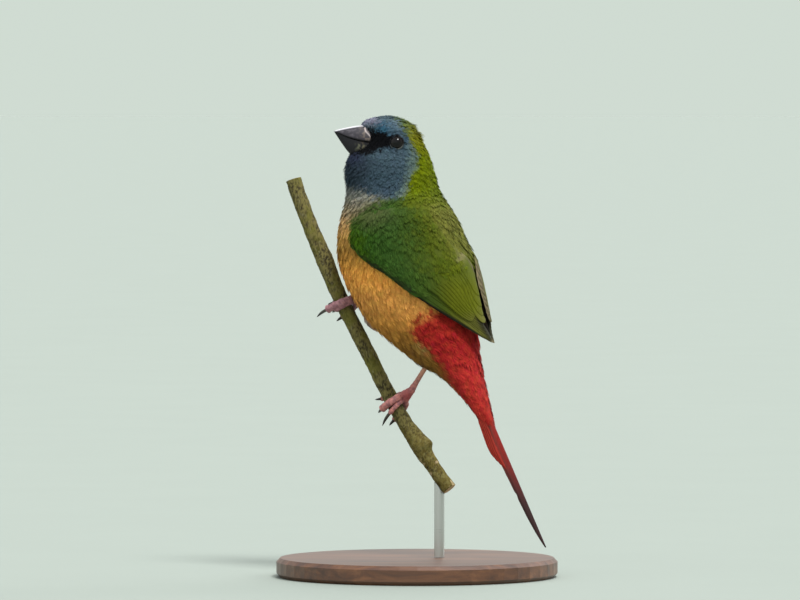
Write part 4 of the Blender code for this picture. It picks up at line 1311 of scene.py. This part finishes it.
def make_bill(horn):
    """Both halves, each closed by a flat side along the gape line, with a nostril to each side."""
    rows = curve_through(BILL, np.linspace(0, len(BILL) - 1, 84))
    turn = np.linspace(0, math.pi, 49)
    for name, upper in (("upper", True), ("lower", False)):
        rings = []
        for x, culmen, gape, low, half in rows:
            x, half = (x, half) if upper else (x + 0.25, 0.93 * half)
            edge, peak = (gape + GAPE_GAP / 2, culmen) if upper else (gape - GAPE_GAP / 2, low)
            side = half * np.cos(turn) * (1 - 0.12 * np.sin(turn))
            high = edge + (peak - edge) * np.sin(turn) ** 0.85
            arc = np.stack([np.full(len(turn), x), side, high], axis=1)
            floor = np.linspace(-0.9, 0.9, 9)[:, None] * [0, half, 0]
            rings.append(np.concatenate([arc, floor + [x, 0, edge + 0.075 * (peak - edge)]]))
        points, faces = turned_mesh(rings)
        for side in (-1, 1) if upper else ():
            hole = np.array(NOSTRIL_AT) * (1, side, 1)
            away = np.linalg.norm((points - hole) * (0.8, 1, 1.1), axis=1)
            push = 0.1 * bell(away, 0.6, 0.2) - NOSTRIL_DEEP * bell(away, 0, 0.36)
            points = points + unit(points - [0, 0, 138.0]) * (0.2, 1, 1) * push[:, None]
        tone = bill_colours(points, upper)
        piece = new_piece(f"mandible_{name}", pose(points), faces, horn, tone)
        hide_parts(f"bill_{name}")


HORN = paint(46, 43, 49)
HORN_PALE = paint(104, 98, 104)
# The lower half's horn, painted darker as painted shade under the bill
HORN_SHADED_BELOW = paint(27, 26, 30)
HORN_MOSS = paint(112, 114, 92)
# A painted highlight: the sky's shine along the culmen's ridge
HORN_RIDGE_HIGHLIGHT = paint(206, 204, 208)
HORN_BASE = paint(104, 90, 74)
HORN_EDGE = paint(18, 17, 20)
CERE = paint(196, 182, 178)
# Where the pale rim of skin behind the bill runs: height and x
CERE_AT = (
    (136.6, -7.2), (137.7, -7.8), (139.2, -9.1), (140.2, -9.3), (141.0, -8.7), (141.6, -8.2),
)


def bill_colours(points, upper):
    """Slate horn: mottled and paler at its base, darker along the gape, with a pale rim of skin, a
    painted highlight along the culmen and painted shade over the lower half.
    """
    x, _, z = points.T
    culmen, gape = bill_at(x)[:2]
    patch = cloud(points * 1.1, octaves=4)
    above = ramp(z, gape, gape + 1.2)
    below = ramp(z, gape - 0.9, gape - 1.5)
    ridge = ramp(z, culmen - 0.5, culmen - 0.14)
    # The lower half takes the darker horn: painted shade under the bill
    colour = mix(HORN if upper else HORN_SHADED_BELOW, HORN_PALE, 0.35 * smooth(patch * 2.4) * above)
    colour = mix(colour, HORN_MOSS, 0.7 * smooth(patch * 3.0) * ramp(x, -13, -11) * below)
    # Painted highlight along the culmen's ridge, towards the tip
    colour = mix(colour, HORN_RIDGE_HIGHLIGHT, 0.85 * ridge * ramp(x, -8, -10))
    colour = mix(colour, HORN_BASE, 0.55 * ramp(x, -12.8, -9.2) * smooth(0.3 + patch * 1.1))
    colour = mix(colour, HORN_EDGE, 0.7 * ramp(abs(z - gape), 0.7, 0))
    return mix(colour, CERE, 0.85 * upper * bell(x, read(CERE_AT, z), 0.22))


# The eyes and their lids

PUPIL = paint(6, 5, 5)
IRIS = paint(15, 9, 7)
LID_DARK = paint(20, 21, 23)
LID_PALE = paint(88, 92, 90)
# The ring of the lids: points round the eye, and points round the rim's own thickness
LID_SIDES = 96
LID_TURNS = 12


def make_eyes(gloss, skin):
    for side, name in ((-1, "left"), (1, "right")):
        middle, out = eye_frame(side)
        up = unit(np.array([0, 0, 1.0]) - out * out[2])
        across = np.cross(up, out)
        polar, turn = np.meshgrid(
            np.linspace(0.02, math.pi - 0.02, 40), round_turn(56), indexing="ij"
        )
        radius = EYE_RADIUS + CORNEA * bell(polar, 0, 0.6)
        sphere = (
            out * (radius * np.cos(polar))[..., None]
            + across * (radius * np.sin(polar) * np.cos(turn))[..., None]
            + up * (radius * np.sin(polar) * np.sin(turn))[..., None]
        )
        points, faces = turned_mesh(sphere)
        looks = np.degrees(np.arccos(np.clip(unit(points) @ out, -1, 1)))
        colours = mix(PUPIL, IRIS, ramp(looks, 26, 31) * ramp(looks, 60, 46))
        eye = new_piece(f"eyeball_{name}", pose(points + middle), faces, gloss, colours)
        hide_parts(f"eye_{name}")

        angles = round_turn(LID_SIDES)
        rim = across * np.cos(angles)[:, None] + up * np.sin(angles)[:, None]
        lower = ramp(-np.sin(angles), 0.05, 0.8)
        grain = 0.05 * np.cos(angles * 31) + 0.03 * np.cos(angles * 53)
        thick = 0.2 + 0.07 * lower + 0.3 * grain
        rings = []
        for ring_turn in round_turn(LID_TURNS):
            reach = LID_RADIUS + thick * math.cos(ring_turn)
            high = LID_HEIGHT + 0.1 * np.sin(angles) + thick * math.sin(ring_turn) * 1.1
            rings.append(rim * reach[:, None] + out * high[:, None])
        points = np.concatenate(rings) + middle
        faces = grid_faces(LID_TURNS + 1, LID_SIDES, closed=True) % len(points)
        tone = np.tile(mix(LID_DARK, LID_PALE, 0.7 * lower), (LID_TURNS, 1))
        new_piece(f"lids_{name}", pose(points), faces[:, ::-1], skin, tone)


# The legs, toes and claws

SKIN = {"left": paint(184, 120, 112), "right": paint(166, 120, 124)}
SKIN_DUSK = paint(118, 80, 88)
SKIN_RED = paint(164, 70, 72)
SKIN_PALE = paint(190, 144, 114)
CLAW = paint(72, 66, 54)
CLAW_TIP = paint(38, 35, 32)


def perch_frame(z):
    """At a height: the perch's centre, its way down, its way to the bird, and its radius."""
    xs, heights, radii = zip(*PERCH)
    x, x_below = np.interp([z, z - 3], heights, xs)
    down = unit(np.array([x_below - x, 0, -3]))
    return np.array([x, 0, z]), down, np.array([-down[2], 0, down[0]]), np.interp(z, heights, radii)


def beside_perch(z, along, degrees, clear):
    """A point that far along the perch from a height, at an angle round it, clear of its bark."""
    centre, down = perch_frame(z)[:2]
    centre, down, out, radius = perch_frame((centre + down * along)[2])
    a = math.radians(degrees)
    return centre + (out * math.cos(a) - np.array([0, 1, 0]) * math.sin(a)) * (radius + clear)


def off_perch(line):
    """At each point of a line, the way out to it from the perch's middle at its height."""
    return unit(line - np.array([perch_frame(p[2])[0] for p in line]))


def toe_path(grip, start, release, along_start, along_end, run, thick):
    """Round the perch to where the toe lets go of it, and then straight on."""
    path = []
    for share in np.linspace(0, 1, 6):
        degrees = start + (release - start) * share
        along = along_start + (along_end - along_start) * share
        path.append(beside_perch(grip, along, degrees, thick + 0.2))
    ahead = unit(path[-1] - path[-2])
    return path + [path[-1] + ahead * run * share for share in (0.5, 1.0)]


def claw_path(grip, path, length):
    """A claw that carries on from the toe and hooks down and towards the perch."""
    ahead = unit(path[-1] - path[-2])
    down = perch_frame(grip)[1]
    sideways = unit(np.cross(down, ahead))
    sideways *= math.copysign(1, np.dot(sideways, perch_frame(path[-1][2])[0] - path[-1]))
    run = np.linspace(-0.55, length, 24)[:, None]
    bent = np.maximum(run, 0) ** 2 * CLAW_HOOK
    return path[-1] + ahead * (0.6 + run) + (down + sideways) * bent


def toe_relief(run, angle):
    """Overlapping plates on top of a toe and soft pads under it."""
    plate = (run / 0.62) % 1
    top = np.maximum(np.cos(angle), 0) ** 0.6
    pad = np.maximum(-np.cos(angle), 0)
    return 0.13 * (plate - 0.35) * top + 0.12 * pad * np.sin(run * 2.1) ** 2


def shank_relief(run, angle):
    """The tall plates down the front of the shank, and fine ones behind."""
    plate, fine = (run / 1.5) % 1, (run / 0.8) % 1
    front = np.maximum(np.cos(angle), 0) ** 0.5
    return 0.12 * (plate - 0.4) * front + 0.05 * (fine - 0.4) * (1 - front)


# Down the shank: shares of the way from the ankle to the joint of the toes, and its radius
SHANK = ((-0.1, 1.3), (0, 1.15), (0.25, 0.82), (0.5, 0.74), (0.75, 0.8), (0.92, 1.05), (1, 1.1))
# Along a claw: its radius, and how fast it hooks, by the square of the length
CLAW_RADII = ((0, 0.52), (0.2, 0.57), (0.45, 0.5), (0.7, 0.37), (0.9, 0.2), (1, 0.06))
CLAW_HOOK = 0.028


def bulging(knots, radii, count, sides, up, relief):
    """A tube through knots with a radius at each. up gives the top side, from its points."""
    shares = np.linspace(0, len(knots) - 1, count)
    line = curve_through(knots, shares)
    widths = np.interp(shares, range(len(radii)), radii)
    return turned_mesh(rings_round(line, widths, sides, up(line), relief))


def make_legs(skin, horn):
    for side, (grip, clear, ankle, toes) in FEET.items():
        pad = beside_perch(grip, 0.2, 4 if side == "left" else -4, clear)
        perch_down, to_bird = perch_frame(grip)[1:3]
        ways, radii = zip(*SHANK)
        knots = [np.array(ankle) + (pad - ankle) * way for way in ways]
        meshes = [bulging(knots, radii, 110, 20, lambda line: -to_bird, shank_relief)]
        knuckle = np.linspace(-1.2, 1.2, 14)
        round_off = 1.28 * np.sqrt(np.maximum(1 - (knuckle / 1.22) ** 2, 0.002))
        lump = pad + perch_down * knuckle[:, None]
        meshes.append(turned_mesh(rings_round(lump, round_off, 18, -to_bird)))
        for name, (start, release, low, high, run, thick, claw_length) in toes.items():
            path = toe_path(grip, start, release, low, high, run, thick)
            end = path[-1] + unit(path[-1] - path[-2]) * 0.55
            swell = [thick * (1.06 if i % 2 else 0.94) for i in range(len(path))]
            knots = [pad + (path[0] - pad) * 0.1, *path, end]
            meshes.append(bulging(knots, [1.1, *swell, 0.55], 96, 16, off_perch, toe_relief))
            nail = claw_path(grip, path, claw_length)
            radii = read(CLAW_RADII, np.linspace(0, 1, len(nail)))
            points, faces = turned_mesh(rings_round(nail, radii, 14, off_perch(nail), squash=0.78))
            tip = np.linalg.norm(points - nail[0], axis=1) / claw_length
            tone = mix(CLAW, CLAW_TIP, smooth(tip * 1.2))
            claw = new_piece(f"nail_{side}_{name}", pose(points), faces, horn, tone)
            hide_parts(f"claw_{side}_{name}")
        points, faces = joined(meshes)
        colours = mix(SKIN[side], SKIN_DUSK, 0.75 * smooth(0.45 + cloud(points * 0.9) * 1.2))
        colours = mix(colours, SKIN_PALE, 0.7 * ramp(points[:, 2], grip + 5, grip + 11))
        if side == "left":
            from_joint = np.linalg.norm(points - pad + [1.3, 0, 1.3], axis=1)
            colours = mix(colours, SKIN_RED, 0.8 * bell(from_joint, 0, 2.2))
        leg = new_piece(f"shank_{side}", pose(points), faces, skin, colours)
        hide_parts(f"leg_{side}")


# The perch

BARK = paint(111, 103, 61)
BARK_DARK_AND_SHADE = paint(48, 42, 28)
BARK_GREEN = paint(100, 98, 38)
LICHEN = paint(146, 139, 98)
BARK_LOW = paint(88, 75, 28)
BARE_WOOD = paint(186, 164, 128)
CUT_WOOD = paint(196, 170, 124)
CUT_SPECK = paint(150, 118, 76)
BUD_AT = np.array([12.4, -1.0, 41.6])


def make_perch(bark, cut):
    knots = np.array([(x, 0, z, radius) for x, z, radius in PERCH])
    rows = curve_through(knots, np.linspace(0, len(PERCH) - 1, 300))
    path = rows[:, :3]
    rings = rings_round(path, rows[:, 3], 56, np.array([0, 1.0, 0]))
    out = unit(rings - path[:, None])
    places_on = rings.reshape(-1, 3)
    rough = 0.16 * cloud(places_on * 0.28) + 0.1 * cloud(places_on * (1.1, 1.1, 0.5))
    rough = rough + 0.05 * np.array([noise.noise(Vector(p)) for p in places_on * 2.4])
    bud = 1.3 * bell(np.linalg.norm(rings - BUD_AT, axis=-1), 0, 1.7)
    rings = rings + out * (rough.reshape(bud.shape) + bud)[..., None]
    points, faces = turned_mesh(rings)
    tone = bark_colours(points, np.append(rough, [0, 0]))
    piece = new_piece("branch", pose_body(points), faces, bark, tone)
    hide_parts("perch")
    discs = []
    for end, inner in ((0, 1), (-1, -2)):
        face_out = unit(path[end] - path[inner])
        centre = rings[end].mean(axis=0)
        disc = [rings[end] * 0.06 + centre * 0.94 - face_out * 0.4]
        for share in np.linspace(1.0, 0.02, 9):
            stands_out = face_out * (0.06 + 0.05 * (1 - share))
            disc.append(centre + (rings[end] - centre) * share * 0.94 + stands_out)
        discs.append(turned_mesh(disc))
    points, faces = joined(discs)
    new_piece("branch_cuts", pose_body(points), faces, cut)


def bark_colours(points, relief):
    """Olive-brown bark, darker in random patches and with painted shade in its hollows, with green
    algae, lichen and a few bare places.
    """
    z = points[:, 2]
    low = cloud(points * 0.22, 0.9)
    mid = cloud(points * 0.7 + [9, 3, 1], 0.9)
    fine = cloud(points * (1.8, 1.8, 1.1), 0.9)
    # Darker in random patches, and painted shade in the hollows, where the relief is low
    colour = mix(BARK, BARK_DARK_AND_SHADE, smooth(0.36 - relief * 2.6 + mid * 0.5 + fine * 1.1))
    colour = mix(colour, BARK_GREEN, 0.55 * ramp(low, 0.05, 0.55))
    colour = mix(colour, LICHEN, 0.6 * ramp(fine, 0.32, 0.57) * smooth(0.5 + mid * 2))
    colour = mix(colour, BARK_LOW, 0.6 * ramp(z, 52, 42) * smooth(0.7 + mid))
    worn = smooth((low + 0.3 * mid - 0.22) * 6) * ramp(z, 42, 34)
    return mix(colour, BARE_WOOD, 0.6 * worn)


# Materials of the other parts

def horn_material(name, bump_size, **values):
    """Horn, skin or the eye: the piece's own colours, a little uneven."""
    made, tree, shader = new_material(name, **values)
    value = spread(tree, noise_node(tree, 0.7, 4.0, 0.7), 0.7, 1.3)
    shade(tree, shader, own_colour(tree, value), noise_node(tree, bump_size), 0.05, 0.4)
    return made


def bark_material():
    made, tree, shader = new_material("bark", roughness=0.9, specular_ior_level=0.1)
    fine = noise_node(tree, 0.35, 5.0, 0.75)
    shade(tree, shader, own_colour(tree, spread(tree, fine, 0.55, 1.45)), fine, 0.25, 0.8)
    return made


def cut_material():
    """The cut ends of the perch: pale speckled wood."""
    made, tree, shader = new_material("cut_wood", roughness=0.8)
    speck = noise_node(tree, 0.5)
    shade(tree, shader, ramp_node(tree, speck, ((0.3, CUT_SPECK), (0.62, CUT_WOOD))), speck, 0.1)
    return made


BASE_TONES = ((0.3, paint(58, 34, 20)), (0.5, paint(92, 56, 32)), (0.7, paint(124, 80, 48)))
BASE_PORES = paint(44, 26, 16)


def base_material():
    """Dark varnished wood, its grain running along x."""
    made, tree, shader = new_material(
        "base_wood", roughness=0.45, coat_weight=0.25, coat_roughness=0.4
    )
    grain = noise_at(tree, drawn_out(tree, 14.0, 190.0, 190.0), 1.4, 6.0, 0.62, Distortion=0.5)
    fine = noise_at(tree, drawn_out(tree, 120.0, 1500.0, 1500.0), 1.0, 3.0)
    pores = spread(tree, fine, 0.0, 0.5)
    tone = blend_node(tree, pores, ramp_node(tree, grain, BASE_TONES), BASE_PORES)
    shade(tree, shader, tone, fine, 0.03, 0.3)
    return made


def rod_material():
    """Steel brushed round the rod."""
    made, tree, shader = new_material("rod_steel", metallic=1.0, base_color=(0.52, 0.52, 0.5, 1))
    lines = noise_at(tree, drawn_out(tree, 60.0, 60.0, 5200.0), 1.0, 4.0)
    tree.links.new(spread(tree, lines, 0.22, 0.42), shader.inputs["Roughness"])
    roughen(tree, shader, lines, 0.01, 0.5)
    return made


def floor_material():
    made, tree, shader = new_material("studio_floor", roughness=0.9, specular_ior_level=0.2)
    tone = blend_node(tree, noise_node(tree, 60.0), paint(139, 147, 139), paint(142, 150, 142))
    tree.links.new(tone, shader.inputs["Base Color"])
    return made


# The studio

CAMERA_AWAY = 2200.0
CAMERA_RISE = 1.6
# The floor's rings, in metres
FLOOR_RADII = (0.05, 2.0, 80.0)
FLOOR_SIDES = 96
# The sky at the horizon and overhead, as light
HORIZON = (0.63, 0.712, 0.645)
OVERHEAD = (0.66, 0.69, 0.72)
# Each light: the way to it, its strength and how many degrees wide it is
LIGHTS = (
    ("key", (0.26, -0.5, 0.83), 3.4, 16),
    ("fill", (-0.75, -0.62, 0.25), 0.7, 110),
    ("top", (0.1, 0.5, 0.86), 1.6, 40),
    ("back", (0.78, 0.5, 0.4), 1.1, 30),
)


def make_studio():
    """A pale floor out to a pale horizon, soft lights, and the photograph's view."""
    turns = round_turn(FLOOR_SIDES)
    circle = np.stack([np.cos(turns), np.sin(turns), 0 * turns], axis=1)
    points = np.concatenate([circle * radius for radius in FLOOR_RADII])
    faces = grid_faces(len(FLOOR_RADII), FLOOR_SIDES, closed=True).tolist()
    mesh = bpy.data.meshes.new("floor")
    mesh.from_pydata(points.tolist(), [], [*faces, list(range(FLOOR_SIDES))])
    mesh.materials.append(floor_material())
    floor = new_object("floor", mesh)

    scene = bpy.context.scene
    world = scene.world = bpy.data.worlds.new("studio")
    world.use_nodes = True
    tree = world.node_tree
    way = add(tree, "ShaderNodeTexCoord").outputs["Generated"]
    height = add(tree, "ShaderNodeSeparateXYZ", {0: way}).outputs["Z"]
    sky = ramp_node(tree, height, ((0.02, HORIZON), (0.5, OVERHEAD)))
    tree.links.new(sky, tree.nodes["Background"].inputs["Color"])
    scene.view_settings.view_transform = "Standard"

    for name, way, strength, wide in LIGHTS:
        light = bpy.data.lights.new(name, "SUN")
        light.energy = strength
        light.angle = math.radians(wide)
        new_object(name, light).rotation_euler = Vector(way).to_track_quat("Z", "Y").to_euler()

    width, height = FRAME_PIXELS
    aim = Vector(((width / 2 - AXIS_PIXEL[0]) * PIXEL, 0, (AXIS_PIXEL[1] - height / 2) * PIXEL))
    rise = math.radians(CAMERA_RISE)
    camera = bpy.data.cameras.new("camera")
    camera.sensor_width = 36.0
    camera.lens = camera.sensor_width * CAMERA_AWAY / (width * PIXEL)
    camera.clip_end = 200.0
    scene.camera = new_object("camera", camera)
    scene.camera.location = (aim + Vector((0, -math.cos(rise), math.sin(rise))) * CAMERA_AWAY) * MM
    scene.camera.rotation_euler = (math.pi / 2 - rise, 0, 0)


def dress(node, material):
    """Gives a CAD node its material."""
    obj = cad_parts[node]
    obj.data.materials.clear()
    obj.data.materials.append(material)


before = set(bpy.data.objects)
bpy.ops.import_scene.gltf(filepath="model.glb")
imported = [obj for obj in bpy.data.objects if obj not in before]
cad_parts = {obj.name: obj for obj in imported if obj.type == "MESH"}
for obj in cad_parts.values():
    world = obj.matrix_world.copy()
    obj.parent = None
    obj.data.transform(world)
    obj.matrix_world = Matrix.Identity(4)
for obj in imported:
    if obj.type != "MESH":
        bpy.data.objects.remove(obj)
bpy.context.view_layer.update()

feathers, webs = feather_material(), vane_material()
skin = horn_material("leg_skin", 0.25, roughness=0.6, specular_ior_level=0.2)
make_body(feathers)
make_wings(feathers, webs)
make_tail(webs)
make_bill(horn_material(
    "bill_horn", 0.5, roughness=0.55, specular_ior_level=0.22, coat_weight=0.06, coat_roughness=0.35
))
make_eyes(horn_material("eye", 3.0, roughness=0.03, specular_ior_level=0.24), skin)
make_legs(skin, horn_material("claw_horn", 0.4, roughness=0.32, specular_ior_level=0.5))
make_perch(bark_material(), cut_material())
dress("stand_base", base_material())
dress("stand_rod", rod_material())
make_studio()
